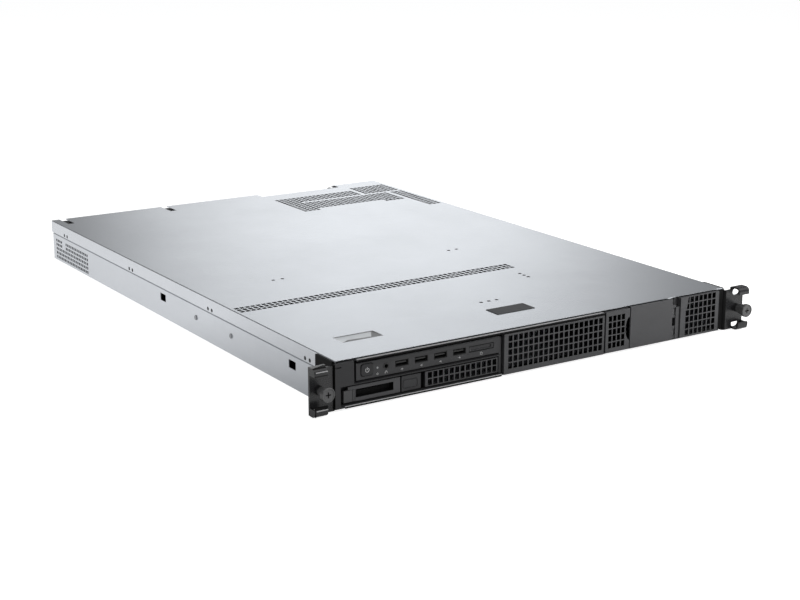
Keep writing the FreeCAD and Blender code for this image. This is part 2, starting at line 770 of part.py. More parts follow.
def access_door():
    """Plain door plate with two hinge knuckles behind its right edge."""
    back = door_front + door_plate
    plate = block(door_x[0], door_x[1], door_front, back, door_z[0], door_z[1])
    edge = [e for e in plate.Edges if abs(e.tangentAt(0).z) > 0.9
            and e.BoundBox.XMin > door_x[1] - 1 and e.BoundBox.YMin < front_y + door_front + 0.1]
    parts = [plate.makeFillet(1.2, edge)]
    for z in knuckle_z:
        knuckle = rod("z", hinge_knuckle_r, hinge_x, hinge_d, z, knuckle_len)
        arm = block(door_x[1] - 2.4, hinge_x, hinge_d - hinge_knuckle_r, hinge_d - 0.8,
                    z, z + knuckle_len)
        root = block(door_x[1] - 2.4, door_x[1], back, hinge_d - 0.8, z, z + knuckle_len)
        parts += [knuckle, arm, root]
    door = fused(parts)
    bores = [rod("z", bore_r(hinge_pin_r, running_gap), hinge_x, hinge_d, z - 1, knuckle_len + 2)
             for z in knuckle_z]
    return door.cut(Part.makeCompound(bores))


def module_cage():
    """Open-fronted cage behind the door."""
    x0, x1 = door_x[0] + 1.6, post_x[0] - 1.4
    front = bulkhead_d + bulkhead_sheet
    shell = block(x0, x1, front, 118, sheet, 40.4)
    bay = block(x0 + 0.8, x1 - 0.8, front - 1, 117.2, 4.4, 39.6)
    under = block(x0 + 0.8, x1 - 0.8, front - 1, carrier_depth - 1, 0, 3.6)
    return shell.cut(Part.makeCompound([bay, under]))


def storage_modules():
    """Two stacked storage modules with pull bars, seated in the cage."""
    modules = []
    x0, x1 = door_x[0] + 2.9, post_x[0] - 2.7
    for n in range(2):
        z = 4.4 + n * 17.6
        body = block(x0, x1, 6, 112, z, z + 16.6)
        finger = block(x0 + 6, x1 - 6, 5, 12, z + 5, z + 11.6)
        bar = block(x0 + 18, x1 - 18, 6, 8, z + 5, z + 11.6)
        modules.append(body.cut(finger).fuse(bar))
    return Part.makeCompound(modules)


def hood(low):
    """Curled hood over a rack slot, its mouth facing the middle of the ear."""
    reach = -ear_sheet - hood_reach
    root = -ear_sheet + 0.2
    top = ear_z[1]
    outer = [(root, top)] + arc_points(reach + hood_round, top - hood_round, hood_round, 90, 180, 3)
    outer += [(reach, top - hood_drop), (reach + hood_wall, top - hood_drop)]
    inner = arc_points(reach + hood_round, top - hood_round, hood_round - hood_wall, 180, 90, 3)
    profile = outer + inner + [(root, top - hood_wall)]
    x1 = rack_width / 2
    shell = side_prism(profile, x1 - hood_width, x1)
    end_wall = side_prism([(root, top)] + outer[1:-1] + [(root, top - hood_drop)], x1 - hood_wall, x1)
    shell = shell.fuse(end_wall)
    if low:
        shell = shell.mirror(Vector(0, 0, ear_mid_z), Vector(0, 0, 1))
    return shell


def ear():
    """Right rack ear: bent plate, slot hoods and a hole for the screw ferrule."""
    x0 = half_width + ear_side_gap
    x1 = rack_width / 2
    r, inner = ear_bend_r, ear_bend_r - ear_sheet
    cx, cy = x0 + r, -ear_sheet + r
    plan = [(x1, -ear_sheet)] + arc_points(cx, cy, r, 270, 180, 4)
    plan += [(x0, ear_tab_depth), (x0 + ear_sheet, ear_tab_depth)]
    plan += arc_points(cx, cy, inner, 180, 270, 3) + [(x1, 0)]
    body = plan_prism(plan, ear_z[0], ear_z[1])
    cuts = [block(x0 - 1, x0 + ear_notch[0], -ear_sheet - 1, cy, ear_notch[1], ear_z[1] + 1)]
    for side in (-1, 1):
        cuts.append(rounded_bar(rack_screw_span / 2, ear_mid_z + side * rack_slot_span / 2,
                                rack_slot, rack_slot[1] / 2 - 0.01, -ear_sheet - 1, 1))
    cuts.append(rod("y", bore_r(screw_neck_r, 0.02), rack_screw_span / 2, -ear_sheet - 1, ear_mid_z, 4))
    for low, high in ((ear_z[0] - 1, ear_z[0]), (ear_z[1], ear_z[1] + 1)):
        cuts.append(block(x0 - 1, x0 + ear_sheet + 1, ear_tab_depth - 3, ear_tab_depth + 1, low, high))
    body = body.cut(Part.makeCompound(cuts))
    return fused([body, hood(False), hood(True)])


def screw_ferrules():
    """Flanged bushes that carry the two ear screws."""
    bushes = []
    for side in (-1, 1):
        x = side * rack_screw_span / 2
        bush = rod("y", screw_neck_r, x, -ear_sheet - screw_neck, ear_mid_z, ear_sheet + screw_neck + 0.8)
        bore = rod("y", bore_r(screw_r, running_gap), x, -ear_sheet - screw_neck - 1, ear_mid_z, 12)
        bushes.append(bush.cut(bore))
    return Part.makeCompound(bushes)


def thumbscrew():
    """Captive ear screw on the right: turned head, tapered waist, shoulder, ring and thread."""
    x = rack_screw_span / 2
    seat = -ear_sheet - screw_neck - 0.2
    profile = [
        (screw_head_r - 0.5, screw_face), (screw_head_r, screw_face + 0.5),
        (screw_head_r, screw_face + screw_head), (screw_waist_r, screw_face + screw_head + 0.4),
        (screw_neck_r, seat),
    ]
    head = turned(profile, x, ear_mid_z)
    shoulder = rod("y", screw_r, x, seat, ear_mid_z, 1.2 - seat)
    ring = rod("y", screw_r + 0.9, x, 1.2, ear_mid_z, 1.0)
    thread = rod("y", screw_r - 0.5, x, 2.2, ear_mid_z, screw_reach - 2.2, sides=0)
    length, width = cross_size
    cuts = [block(x - length / 2, x + length / 2, screw_face - 1, screw_face + cross_depth,
                  ear_mid_z - width / 2, ear_mid_z + width / 2),
            block(x - width / 2, x + width / 2, screw_face - 1, screw_face + cross_depth,
                  ear_mid_z - length / 2, ear_mid_z + length / 2)]
    return fused([head.cut(Part.makeCompound(cuts)), shoulder, ring, thread])


# ================================================================ fans
def fan_x(n):
    return fan_first_x + n * fan_pitch


def fan_bracket():
    """Cross sheet with a window per fan, side arms at the rivets and a floor flange."""
    half = bulkhead_half - sheet - 0.3
    d0 = fan_d - bracket_sheet - 0.2
    outline = rect(-half, half, sheet, 40.8)
    windows = [rect(fan_x(n) - fan_bore_r, fan_x(n) + fan_bore_r, fan_z - fan_bore_r, fan_z + fan_bore_r)
               for n in range(fan_count)]
    windows.append(rect(cable_x - 5, cable_x + 5, 6.0, 35.0))
    plate = pierced(outline, windows, d0, d0 + bracket_sheet)
    parts = [plate, block(-half, half, d0 - 10, d0, sheet, sheet + bracket_sheet)]
    for side in (-1, 1):
        parts.append(block(side * half, side * (half - bracket_sheet), rivet_d[0] - 5, rivet_d[1] + 5,
                           sheet, flange_bottom - 4))
    return fused(parts)


def fan_frames():
    """Square fan housings, each with a motor hub on three struts and a fixed axle."""
    frames = []
    for n in range(fan_count):
        x = fan_x(n)
        body = block(x - fan_size / 2, x + fan_size / 2, fan_d, fan_d + fan_depth,
                     fan_z - fan_size / 2, fan_z + fan_size / 2)
        body = body.cut(rod("y", fan_bore_r, x, fan_d - 1, fan_z, fan_depth + 2, fan_bore_sides))
        hub_d = fan_d + fan_depth - 6
        parts = [body, rod("y", fan_hub_r, x, hub_d, fan_z, 5),
                 rod("y", fan_axle_r, x, fan_d + 6, fan_z, hub_d - fan_d - 6)]
        strut = block(x - 1, x + 1, hub_d + 1, hub_d + 4, fan_z + fan_hub_r - 1, fan_z + fan_bore_r + 0.6)
        for turn in (0, 120, 240):
            arm = strut.copy()
            arm.rotate(Vector(x, front_y + fan_d, fan_z), Vector(0, 1, 0), turn)
            parts.append(arm)
        frames.append(fused(parts))
    return Part.makeCompound(frames)


def rotor(x):
    """Fan wheel: hub cup on the axle with tilted blades."""
    length = fan_depth - 6 - 4 - 0.6
    d0 = fan_d + 4
    parts = [rod("y", fan_hub_r, x, d0, fan_z, length)]
    tip = fan_bore_r - fan_blade_tip_gap
    for n in range(fan_blades):
        blade = block(x - 0.6, x + 0.6, d0 + 2, d0 + length - 2, fan_z + fan_hub_r - 1.5, fan_z + tip)
        blade.rotate(Vector(x, front_y + d0 + length / 2, fan_z), Vector(0, 0, 1), 32)
        blade.rotate(Vector(x, front_y + d0, fan_z), Vector(0, 1, 0), n * 360 / fan_blades)
        parts.append(blade)
    wheel = fused(parts)
    return wheel.cut(rod("y", bore_r(fan_axle_r, running_gap), x, d0 + 1.5, fan_z, length + 1))


# ================================================================ boards and cooling
def mainboard():
    """Stepped board with its soldered plugs and power blocks."""
    x0, x1 = board_x
    top = board_z + board_sheet
    parts = [block(x0, x1, board_d[0], board_d[1], board_z, top),
             block(board_tail_x[0], board_tail_x[1], board_d[1] - 1, board_tail_d, board_z, top),
             block(cable_x - 6, cable_x + 6, board_d[0] + 0.5, board_d[0] + 5.5, top - 0.2, top + 7),
             block(cable_x - 6, cable_x + 6, board_d[0] + 6.5, board_d[0] + 16, top - 0.2, top + 5)]
    for n in range(6):
        x = cpu_x - 40 + n * 15
        parts.append(block(x, x + 11, board_d[0] + 20, board_d[0] + 30, top - 0.2, top + 5))
    return fused(parts)


def board_spots():
    x0, x1 = board_x
    tail0, tail1 = board_tail_x
    return [(x0 + 7, board_d[0] + 7), (x1 - 7, board_d[0] + 7), (x0 + 7, board_d[1] - 7),
            (x1 - 7, board_d[1] - 7), (tail0 + 7, board_tail_d - 60), (tail1 - 7, board_tail_d - 8)]


def board_standoffs():
    """Six-sided posts: floor to mainboard, and carrier sleeve to port board."""
    posts = [rod("z", standoff_r, x, d, sheet, board_z - sheet, sides=6) for x, d in board_spots()]
    sleeve_top = bay_z[1] + cage_gap
    for x in (carrier_x[0] + 20, carrier_x[1] - 9):
        for d in (11.0, 43.0):
            posts.append(rod("z", 2.0, x, d, sleeve_top, port_board_top - board_sheet - sleeve_top, sides=6))
    return Part.makeCompound(posts)


def board_screws():
    """Six-sided screw heads over the posts."""
    top = board_z + board_sheet
    return Part.makeCompound([rod("z", 2.8, x, d, top, 1.8, sides=6) for x, d in board_spots()])


def cpu_socket():
    """Processor socket frame with the processor lid."""
    wide, deep, tall = socket_size
    top = board_z + board_sheet
    frame = block(cpu_x - wide / 2, cpu_x + wide / 2, cpu_d - deep / 2, cpu_d + deep / 2, top, top + tall - 1)
    lid = block(cpu_x - 19, cpu_x + 19, cpu_d - 19, cpu_d + 19, top + tall - 1, top + tall)
    return frame.fuse(lid)


def finned_block(x, d, size, z0, z1, base, fins):
    """Base plate with thin fins that run along the air stream."""
    wide, deep = size
    parts = [block(x - wide / 2, x + wide / 2, d - deep / 2, d + deep / 2, z0, z0 + base)]
    room = wide - 16
    for n in range(fins):
        fx = x - room / 2 + n * (room - fin_sheet) / (fins - 1)
        parts.append(block(fx, fx + fin_sheet, d - deep / 2, d + deep / 2, z0 + base - 0.5, z1))
    return fused(parts)


def cpu_heatsink():
    """Finned cooler on the processor lid."""
    seat = board_z + board_sheet + socket_size[2]
    return finned_block(cpu_x, cpu_d, sink_size, seat, sink_top, sink_base, sink_fins)


def heatsink_screws():
    """Four sprung screws at the cooler's corners."""
    top = board_z + board_sheet
    seat = top + socket_size[2] + sink_base
    screws = []
    for side in (-1, 1):
        for end in (-1, 1):
            x = cpu_x + side * (sink_size[0] / 2 - 3.6)
            d = cpu_d + end * (sink_size[1] / 2 - 4)
            screws.append(rod("z", 3.0, x, d, seat, 4, sides=6))
    return Part.makeCompound(screws)


def dimm_places():
    return [first + n * dimm_pitch for first in dimm_bank_x for n in range(dimm_per_bank)]


def memory_sockets():
    """Slotted sockets in two banks beside the processor."""
    top = board_z + board_sheet
    wide, tall = dimm_slot
    half = dimm_length / 2
    sockets = []
    for x in dimm_places():
        body = block(x - wide / 2, x + wide / 2, cpu_d - half, cpu_d + half, top, top + tall)
        slot = block(x - 0.75, x + 0.75, cpu_d - half + 3, cpu_d + half - 3, top + 2, top + tall + 1)
        sockets.append(body.cut(slot))
    return Part.makeCompound(sockets)


def memory_modules():
    """Memory boards standing in the sockets, each with a row of chips per side."""
    top = board_z + board_sheet
    half = dimm_length / 2 - 3.3
    modules = []
    for x in dimm_places():
        card = block(x - 0.6, x + 0.6, cpu_d - half, cpu_d + half, top + 2.2, dimm_top)
        chips = block(x - 1.5, x + 1.5, cpu_d - half + 6, cpu_d + half - 6, top + 10.5, dimm_top - 6)
        modules.append(card.fuse(chips))
    return Part.makeCompound(modules)


def air_baffle():
    """Clear channel over the processor and memory."""
    x0, x1 = dimm_bank_x[0] - 8, dimm_bank_x[1] + 40
    d0, d1 = cpu_d - dimm_length / 2 - baffle_lap, cpu_d + dimm_length / 2 + baffle_lap
    side_top = baffle_under + baffle_sheet / 2
    parts = [block(x0, x1, d0, d1, baffle_under, baffle_under + baffle_sheet),
             block(x0, x0 + baffle_sheet, d0, d1, board_z + board_sheet, side_top),
             block(x1 - baffle_sheet, x1, d0, d1, board_z + board_sheet, side_top)]
    return fused(parts)


def riser_board():
    """Upright board that joins the expansion card to the mainboard."""
    x = board_tail_x[1] - 4
    face = x + riser_sheet
    d0, d1 = riser_d
    top = board_z + board_sheet
    board = block(x, face, d0, d1, top, card_box_z[1])
    slot = block(face, face + 7, d0 + 10, d1 - 10, card_box_z[0] + 3, card_box_z[0] + 11)
    foot = block(x - 3, face + 1.6, d0 + 4, d1 - 4, top, top + 5)
    mouth = block(face + 3.4, face + 7.4, d0 + 12, d1 - 12, card_box_z[0] + 6, card_box_z[0] + 8.2)
    return fused([board, slot, foot]).cut(mouth)


def expansion_card():
    """Flat add-in card with a passive finned cooler."""
    x0, x1 = card_box_x
    d0, d1 = card_box_d
    z = card_box_z[0] + 6.3
    parts = [block(x0, x1, d0, d1, z, z + 1.6), block(x0 - 4.5, x0 + 1, riser_d[0] + 14, riser_d[1] - 14, z, z + 1.6)]
    parts.append(block(x0 + 5, x1 - 5, d0 + 8, d1 - 30, z + 1.6, z + 5.6))
    span = x1 - x0 - 12
    for n in range(card_fins):
        x = x0 + 6 + n * (span - 1.2) / (card_fins - 1)
        parts.append(block(x, x + 1.2, d0 + 8, d1 - 30, z + 5.1, card_box_z[1]))
    return fused(parts)


def card_bracket():
    """Slotted end plate of the expansion card, seated against the rear panel."""
    x0, x1 = card_box_x
    holes = [rect(x0 + 8 + n * 16, x0 + 20 + n * 16, 8, 14) for n in range(6)]
    d0, d1 = chassis_depth - sheet - 1.6, chassis_depth - sheet - 0.4
    plate = pierced(rect(x0, x1, 3.0, card_box_z[1] - 0.4), holes, d0, d1)
    foot = block(x0 + 10, x0 + 30, card_box_d[1] - 12, d0 + 0.4, card_box_z[0] + 5.1, card_box_z[0] + 6.3)
    return plate.fuse(foot)


def chipset_heatsink():
    """Small finned cooler on the board tail."""
    top = board_z + board_sheet
    return finned_block(chipset_x, chipset_d, (50, 40), top, top + 14, 3, 7)


# ================================================================ rear
def rear_port_list():
    """Sockets on the board's rear edge: centre x, centre z, opening, tongue thickness."""
    return [(-46, 17.2, (13.2, 11.6), 0), (-28, 17.2, (13.2, 11.6), 0), (-8, 13.2, (13.2, 5.0), 1.5),
            (12, 13.2, (13.2, 5.0), 1.5), (34, 13.4, (16.0, 5.2), 1.6), (56, 13.4, (16.0, 5.2), 1.6)]


def rear_ports():
    """Network, data and display sockets, open to the rear."""
    top = board_z + board_sheet
    shells = []
    for x, z, size, tongue in rear_port_list():
        shell = socket_shell(x, z, size, 0.8, chassis_depth - 0.6, chassis_depth - 21, tongue)
        foot = block(x - 5, x + 5, chassis_depth - 21, chassis_depth - 10, top, z - size[1] / 2 - 0.5)
        shells.append(shell.fuse(foot))
    return Part.makeCompound(shells)


def rear_panel():
    """Rear sheet with windows for the supply, sockets and card, notched for the cover screw."""
    half = bulkhead_half - sheet - 0.2
    d0, d1 = chassis_depth - sheet, chassis_depth
    step0, step1 = cover_step_x
    shelf = cover_screw_z - cover_screw_r - 1.0
    outline = [(-half, sheet), (half, sheet), (half, rear_top), (step1 - 0.4, rear_top),
               (step1 - 0.4, shelf), (step0 + 0.4, shelf), (step0 + 0.4, rear_top), (-half, rear_top)]
    windows = [rect(psu_x[0] - psu_gap, psu_x[1] + psu_gap, psu_z[0] - 0.1, psu_z[1] + psu_gap)]
    for x, z, size, tongue in rear_port_list():
        windows.append(rect(x - size[0] / 2 - 1, x + size[0] / 2 + 1, z - size[1] / 2 - 1,
                            z + size[1] / 2 + 1))
    windows.append(rect(card_box_x[0] + 4, card_box_x[1] - 4, 6.0, card_box_z[1] - 3))
    for n in range(8):
        x = psu_x[1] + 9 + n * 7.6
        windows.append(rect(x, x + 4.2, 12, 32))
    return pierced(outline, windows, d0, d1)


def screw_bracket():
    """Angle behind the rear step that takes the cover's screw."""
    step0, step1 = cover_step_x
    shelf = cover_screw_z - cover_screw_r - 1.0
    wall_d = chassis_depth + cover_overhang - cover_step - cover_sheet - 1.6
    parts = [block(step0 + 0.4, step1 - 0.4, wall_d, chassis_depth - sheet, shelf - 1, shelf),
             block(step0 + 0.4, step1 - 0.4, wall_d, wall_d + sheet, shelf - 1, tray_top - 0.2)]
    hole = rod("y", 1.9, cover_screw_x, wall_d - 1, cover_screw_z, 3)
    return fused(parts).cut(hole)


def cover_screw():
    """Captive screw through the cover's rear tab."""
    tab_d = chassis_depth + cover_overhang - cover_step
    head = turned([(cover_screw_r, tab_d + 3), (cover_screw_r, tab_d + 8.4),
                   (cover_screw_r - 0.5, tab_d + 9)], cover_screw_x, cover_screw_z)
    neck = rod("y", 2.8, cover_screw_x, tab_d + 0.2, cover_screw_z, 2.8)
    shank = rod("y", 1.8, cover_screw_x, tab_d - cover_sheet - 6, cover_screw_z, cover_sheet + 6.2)
    slot = block(cover_screw_x - 5, cover_screw_x + 5, tab_d + 7.8, tab_d + 10,
                 cover_screw_z - 0.5, cover_screw_z + 0.5)
    return fused([head, neck, shank]).cut(slot)


def psu_cage():
    """Sheet sleeve round the two supply bays."""
    x0, x1 = psu_bay_x
    d0, d1 = psu_d[0] - 2, chassis_depth - sheet - 0.2
    top = psu_z[1] + psu_gap
    middle = psu_x[1] + psu_gap
    return fused([block(x0 - 0.8, x1 + 0.8, d0, d1, top, top + 0.8),
                  block(x0 - 0.8, x0, d0, d1, sheet, top), block(x1, x1 + 0.8, d0, d1, sheet, top),
                  block(middle, middle + 0.8, d0, d1, sheet, top)])


def power_backplane():
    """Upright board that takes the supply's contacts."""
    d = psu_d[0] - 8
    board = block(psu_bay_x[0], psu_bay_x[1], d, d + 1.6, 12.0, 39.0)
    parts = [board]
    for x in ((psu_x[0] + psu_x[1]) / 2, (psu_x[1] + psu_bay_x[1]) / 2 + 1):
        socket = block(x - 18, x + 18, d + 1.6, d + 6, 16, 26)
        parts.append(socket.cut(block(x - 16.4, x + 16.4, d + 2, d + 7, 19.6, 22.4)))
    return fused(parts)


def psu_module():
    """Hot-swap power supply: case, edge contacts, fan guard, inlet well and carrying bail."""
    x0, x1 = psu_x
    d0, d1 = psu_d
    z0, z1 = psu_z
    middle = (x0 + x1) / 2
    case = block(x0, x1, d0, d1, z0, z1)
    fan_cx = x0 + 24
    inlet_cx = x1 - 17
    cuts = [rod("y", psu_fan_r, fan_cx, d1 - 5, fan_z, 6),
            block(inlet_cx - inlet_size[0] / 2, inlet_cx + inlet_size[0] / 2, d1 - inlet_depth, d1 + 1,
                  9, 9 + inlet_size[1])]
    parts = [case.cut(Part.makeCompound(cuts)),
             block(middle - 16, middle + 16, d0 - 4, d0 + 1, 20.2, 21.8)]
    for n in range(3):
        z = fan_z - 7 + n * 7
        parts.append(block(fan_cx - psu_fan_r, fan_cx + psu_fan_r, d1 - 1.2, d1, z - 0.5, z + 0.5))
    for n in (-1, 0, 1):
        z = 19.5 if n == 0 else 15.5
        x = inlet_cx + n * 7
        parts.append(block(x - 1, x + 1, d1 - inlet_depth - 0.5, d1 - 3, z - 2, z + 2))
    reach = d1 + handle_reach
    bail_x = fan_cx + psu_fan_r + 2.4
    parts += [block(bail_x - 1.2, bail_x + 1.2, d1 - 1, reach, 5, 8),
              block(bail_x - 1.2, bail_x + 1.2, d1 - 1, reach, 34, 37),
              block(bail_x - 1.2, bail_x + 1.2, reach - 3, reach, 8, 34)]
    lever_x = x1 + lever_turn_x
    lever_d = d1 + 3.2
    parts += [block(lever_x - 2.4, lever_x + 2.4, d1, d1 + 5.6, z, z + 1.6) for z in (26.6, 36.8)]
    parts.append(rod("z", lever_pin_r, lever_x, lever_d, 27, 11))
    return fused(parts)


def psu_lever():
    """Release lever at the supply's right end, turning on a short pin."""
    x = psu_x[1] + lever_turn_x
    d = psu_d[1]
    arm = block(x - 1.2, x + 1.2, d + 2.6, d + 16, 28.5, 36.5)
    eye = rod("z", 2.4, x, d + 3.2, 28.5, 8)
    return fused([arm, eye]).cut(rod("z", bore_r(lever_pin_r, running_gap), x, d + 3.2, 27, 11))


def front_cables():
    """Flat cables from the port board and the carrier socket to the mainboard."""
    plug_z = port_board_top + 3
    top = board_z + board_sheet
    upper = ribbon([(46, plug_z), (board_d[0] + 11, plug_z), (board_d[0] + 11, top + 5)],
                   cable_x, cable_width, cable_thickness, cable_bend)
    lower = ribbon([(carrier_depth + 8, 11), (board_d[0] + 0.5, 11)],
                   cable_x, cable_width - 1, cable_thickness, cable_bend)
    return Part.makeCompound([upper, lower])


# ================================================================ export
pieces = {
    "chassis_tray": chassis_tray,
    "front_bulkhead": front_bulkhead,
    "rear_panel": rear_panel,
    "screw_bracket": screw_bracket,
    "bezel_frame": bezel_frame,
    "io_panel": io_panel,
    "status_lamp": status_lamp,
    "headset_jack": headset_jack,
    "usb_ports": usb_ports,
    "card_reader": card_reader,
    "port_board": port_board,
    "lower_grille": lower_grille,
    "main_grille": main_grille,
    "side_grille": side_grille,
    "right_grille": right_grille,
    "blank_plug": blank_plug,
    "carrier_cage": carrier_cage,
    "hinge_post": hinge_post,
    "ear_right": ear,
    "ear_left": lambda: mirrored(ear()),
    "screw_ferrules": screw_ferrules,
    "module_cage": module_cage,
    "storage_modules": storage_modules,
    "fan_bracket": fan_bracket,
    "fan_frames": fan_frames,
    "mainboard": mainboard,
    "board_standoffs": board_standoffs,
    "board_screws": board_screws,
    "cpu_socket": cpu_socket,
    "cpu_heatsink": cpu_heatsink,
    "heatsink_screws": heatsink_screws,
    "memory_sockets": memory_sockets,
    "memory_modules": memory_modules,
    "air_baffle": air_baffle,
    "riser_board": riser_board,
    "expansion_card": expansion_card,
    "card_bracket": card_bracket,
    "chipset_heatsink": chipset_heatsink,
    "rear_ports": rear_ports,
    "psu_cage": psu_cage,
    "power_backplane": power_backplane,
    "front_cables": front_cables,
    "side_rivets": side_rivets,
    "top_cover": top_cover,
    "cover_pad": cover_pad,
    "cover_screw": cover_screw,
    "power_button": power_button,
    "drive_carrier": drive_carrier,
    "solid_state_drive": solid_state_drive,
    "carrier_latch": carrier_latch,
    "access_door": access_door,
    "thumbscrew_right": thumbscrew,
    "thumbscrew_left": lambda: mirrored(thumbscrew()),
    "psu_module": psu_module,
    "psu_lever": psu_lever,
}
for number in range(fan_count):
    pieces["rotor_%d" % (number + 1)] = lambda n=number: rotor(fan_x(n))

os.makedirs("parts", exist_ok=True)
for name, make in pieces.items():
    make().exportStep("parts/%s.step" % name)
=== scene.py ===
"""One-unit rack server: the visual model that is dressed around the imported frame."""
import json
import math

import bmesh
import bpy
from bpy.props import FloatProperty, FloatVectorProperty, IntProperty, PointerProperty
from mathutils import Euler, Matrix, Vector


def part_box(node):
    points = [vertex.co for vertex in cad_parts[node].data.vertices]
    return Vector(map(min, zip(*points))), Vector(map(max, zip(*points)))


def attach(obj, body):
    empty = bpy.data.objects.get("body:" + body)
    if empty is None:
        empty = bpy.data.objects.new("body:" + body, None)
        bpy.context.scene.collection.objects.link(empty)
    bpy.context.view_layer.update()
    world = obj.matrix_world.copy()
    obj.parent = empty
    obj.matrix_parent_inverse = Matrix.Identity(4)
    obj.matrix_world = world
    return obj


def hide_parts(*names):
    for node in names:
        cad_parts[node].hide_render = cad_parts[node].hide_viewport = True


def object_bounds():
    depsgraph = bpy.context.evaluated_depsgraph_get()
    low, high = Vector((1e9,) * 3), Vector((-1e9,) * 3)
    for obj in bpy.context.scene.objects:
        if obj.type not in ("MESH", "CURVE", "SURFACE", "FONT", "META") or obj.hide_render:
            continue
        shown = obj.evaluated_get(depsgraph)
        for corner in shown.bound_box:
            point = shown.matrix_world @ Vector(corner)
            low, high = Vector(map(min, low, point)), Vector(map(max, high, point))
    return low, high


bl_info = {
    "name": "One-unit rack server",
    "version": (1, 0, 0),
    "blender": (4, 5, 0),
    "location": "View3D > Sidebar > Rack server",
    "description": "Dresses the packed rack server with sheet, vents, marks, finishes and a studio",
    "category": "Object",
}

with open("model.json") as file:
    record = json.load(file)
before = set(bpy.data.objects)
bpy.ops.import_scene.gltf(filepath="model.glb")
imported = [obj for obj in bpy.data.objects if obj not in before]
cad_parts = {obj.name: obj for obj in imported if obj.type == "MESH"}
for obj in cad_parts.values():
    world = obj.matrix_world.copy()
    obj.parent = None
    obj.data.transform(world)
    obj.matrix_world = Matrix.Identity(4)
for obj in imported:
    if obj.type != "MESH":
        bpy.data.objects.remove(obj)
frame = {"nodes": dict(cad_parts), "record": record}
cad_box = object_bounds()
cover_low, cover_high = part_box("top_cover")
button_low, button_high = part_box("power_button")
panel_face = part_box("io_panel")[0][1]
front_edge = cover_low[1]
rear_edge = cover_high[1]
cover_top = cover_high[2]
MM = 0.001
shader_groups = {}
finishes = {}

# Merge distances and depth of a bump, in metres; edge angles in degrees.
MERGE = 0.000002
TREE_MERGE = 0.000003
BUMP_DEPTH = 0.0004
FLAT_ANGLE = 0.5
SHARP_ANGLE = 30

# Places below are in millimetres. x runs across, "back" runs from the cover's front edge, z runs up.

# Cover, as x from, x to, back from, back to. The first vent field is the front band.
GRIP = (-183.5, -142.3, 41.5, 59.5)
GRIP_DEPTH = 0.8
# How far the tray's floor lies inside each corner of the grip, as x and back.
GRIP_SLOPES = ((9.0, 7.0), (-9.5, 5.0), (-2.0, -0.4), (4.0, -0.4))
VENT_FIELDS = (
    (-213.0, 97.5, 171.9, 189.9),
    (49.5, 72.0, 517.5, 594.0),
    (72.0, 157.5, 567.0, 594.0),
    (72.0, 189.0, 526.5, 562.5),
    (162.0, 189.0, 517.5, 526.5),
    (162.0, 211.5, 567.0, 607.5),
    (193.5, 211.5, 472.5, 562.5),
)
# Near-black screens this far under the top of each vent field, as painted shade seen through the holes.
SHADE_SCREEN_UNDER_TOP = (0.78, 0.70)

# Step, open slots and clip at the cover's rear edge.
STEP_X = (48.0, 152.4)
STEP_DEEP = 13.2
STEP_DROP = 9.5
SLOT_CENTRES = (-203.0, -76.8)
SLOT_HALF_WIDTH = 3.7
SLOT_LONG = 28.0
CLIP_X = (152.0, 156.5)
CLIP_GAPS = (0.3, 2.0)
CLIP_THICK = 0.5

# Pressed dimples, as flat studs dark with painted shade: x and back on the top; back of each pair, half their
# spacing and z on the sides.
TOP_DIMPLES = ((-9.1, 83), (-0.3, 83), (8.6, 83), (85.7, 149.7), (85.5, 142.4), (85.1, 135.1),
               (-132.3, 260), (-122.3, 260), (81.7, 269.1), (91.7, 269.1))
SIDE_DIMPLES = (45.5, 230.5, 413, 592)
SIDE_DIMPLE_HALF_GAP = 4
SIDE_DIMPLE_Z = 33
DIMPLE_FLATNESS = 0.1
DIMPLE_SEGMENTS = 16
DIMPLE_RINGS = 8

# Picture marks on the socket panel: their z, and the x of each.
MARKS_Z = 25.8
HEADSET_MARK_X = -166.9
PORT_MARKS_X = (-151.2, -131.5, -111.8, -92.1)
CARD_MARK_X = -69.0
LAMP_MARK_X = -175.5

# Painted shade round the card slot, as a dark outline: x from, x to, z from, z to, and its line width.
CARD_OUTLINE = (-82.1, -55.9, 28.8, 33.6)
CARD_LINE = 0.75

# Ear hoods, measured from the ear's outer side, foot, top and front. The webs, dark sheets of painted shade
# behind the slots, lie ahead of the cover's edge.
HOOD_X = (0.2, 12.6)
LIP_FOOT = 6.7
LIP_TOP = {"left": 9.4, "right": 7.6}
LIP_THICK = 1.5
LIP_ROUND = 0.4
WEB_FOOT = {"left": 5.0, "right": 6.6}
WEB_TOP = 12.5
WEB_AHEAD = (2.05, 1.3)
# Painted highlight and painted shade strips on the left ear's hoods: how far they stand proud and sink in,
# where they start, and their heights.
FOLD_PROUD = 0.06
FOLD_SUNK = 0.3
FOLD_START = 1.2
LOWER_FOLD = (5.6, 6.5)
UPPER_FOLD = (3.3, 2.5)
UPPER_SHADE = (6.6, 5.8)
END_SHADE = (1.0, 6.6)
END_SHADE_WIDE = 1.0

# Ear screw: (radius, distance behind its face) along the shank, then the thread.
SCREW_DISH = ((5.0, 0.45), (5.3, 0.0))
SCREW_CHAMFER = 0.45
SCREW_HEAD = 3.5
SCREW_SHANK = ((5.6, 3.9), (4.05, 12.2), (2.85, 12.4), (2.85, 19.2), (3.75, 19.4), (3.75, 20.3), (2.4, 20.5))
THREAD_BACK = (20.5, 28.0)
THREAD_PITCH = 0.5
THREAD_RADII = (2.4, 2.1)
SCREW_TIP = 2.0
SCREW_FLAT_ANGLE = 32
CROSS_HALVES = ((2.5, 0.55), (0.55, 2.5))
CROSS_BACK = (0.40, 0.50)
RIB_HALF = (0.12, 0.16, 1.4)
RIB_SUNK = 0.1
RIBS_BACK = 2.05

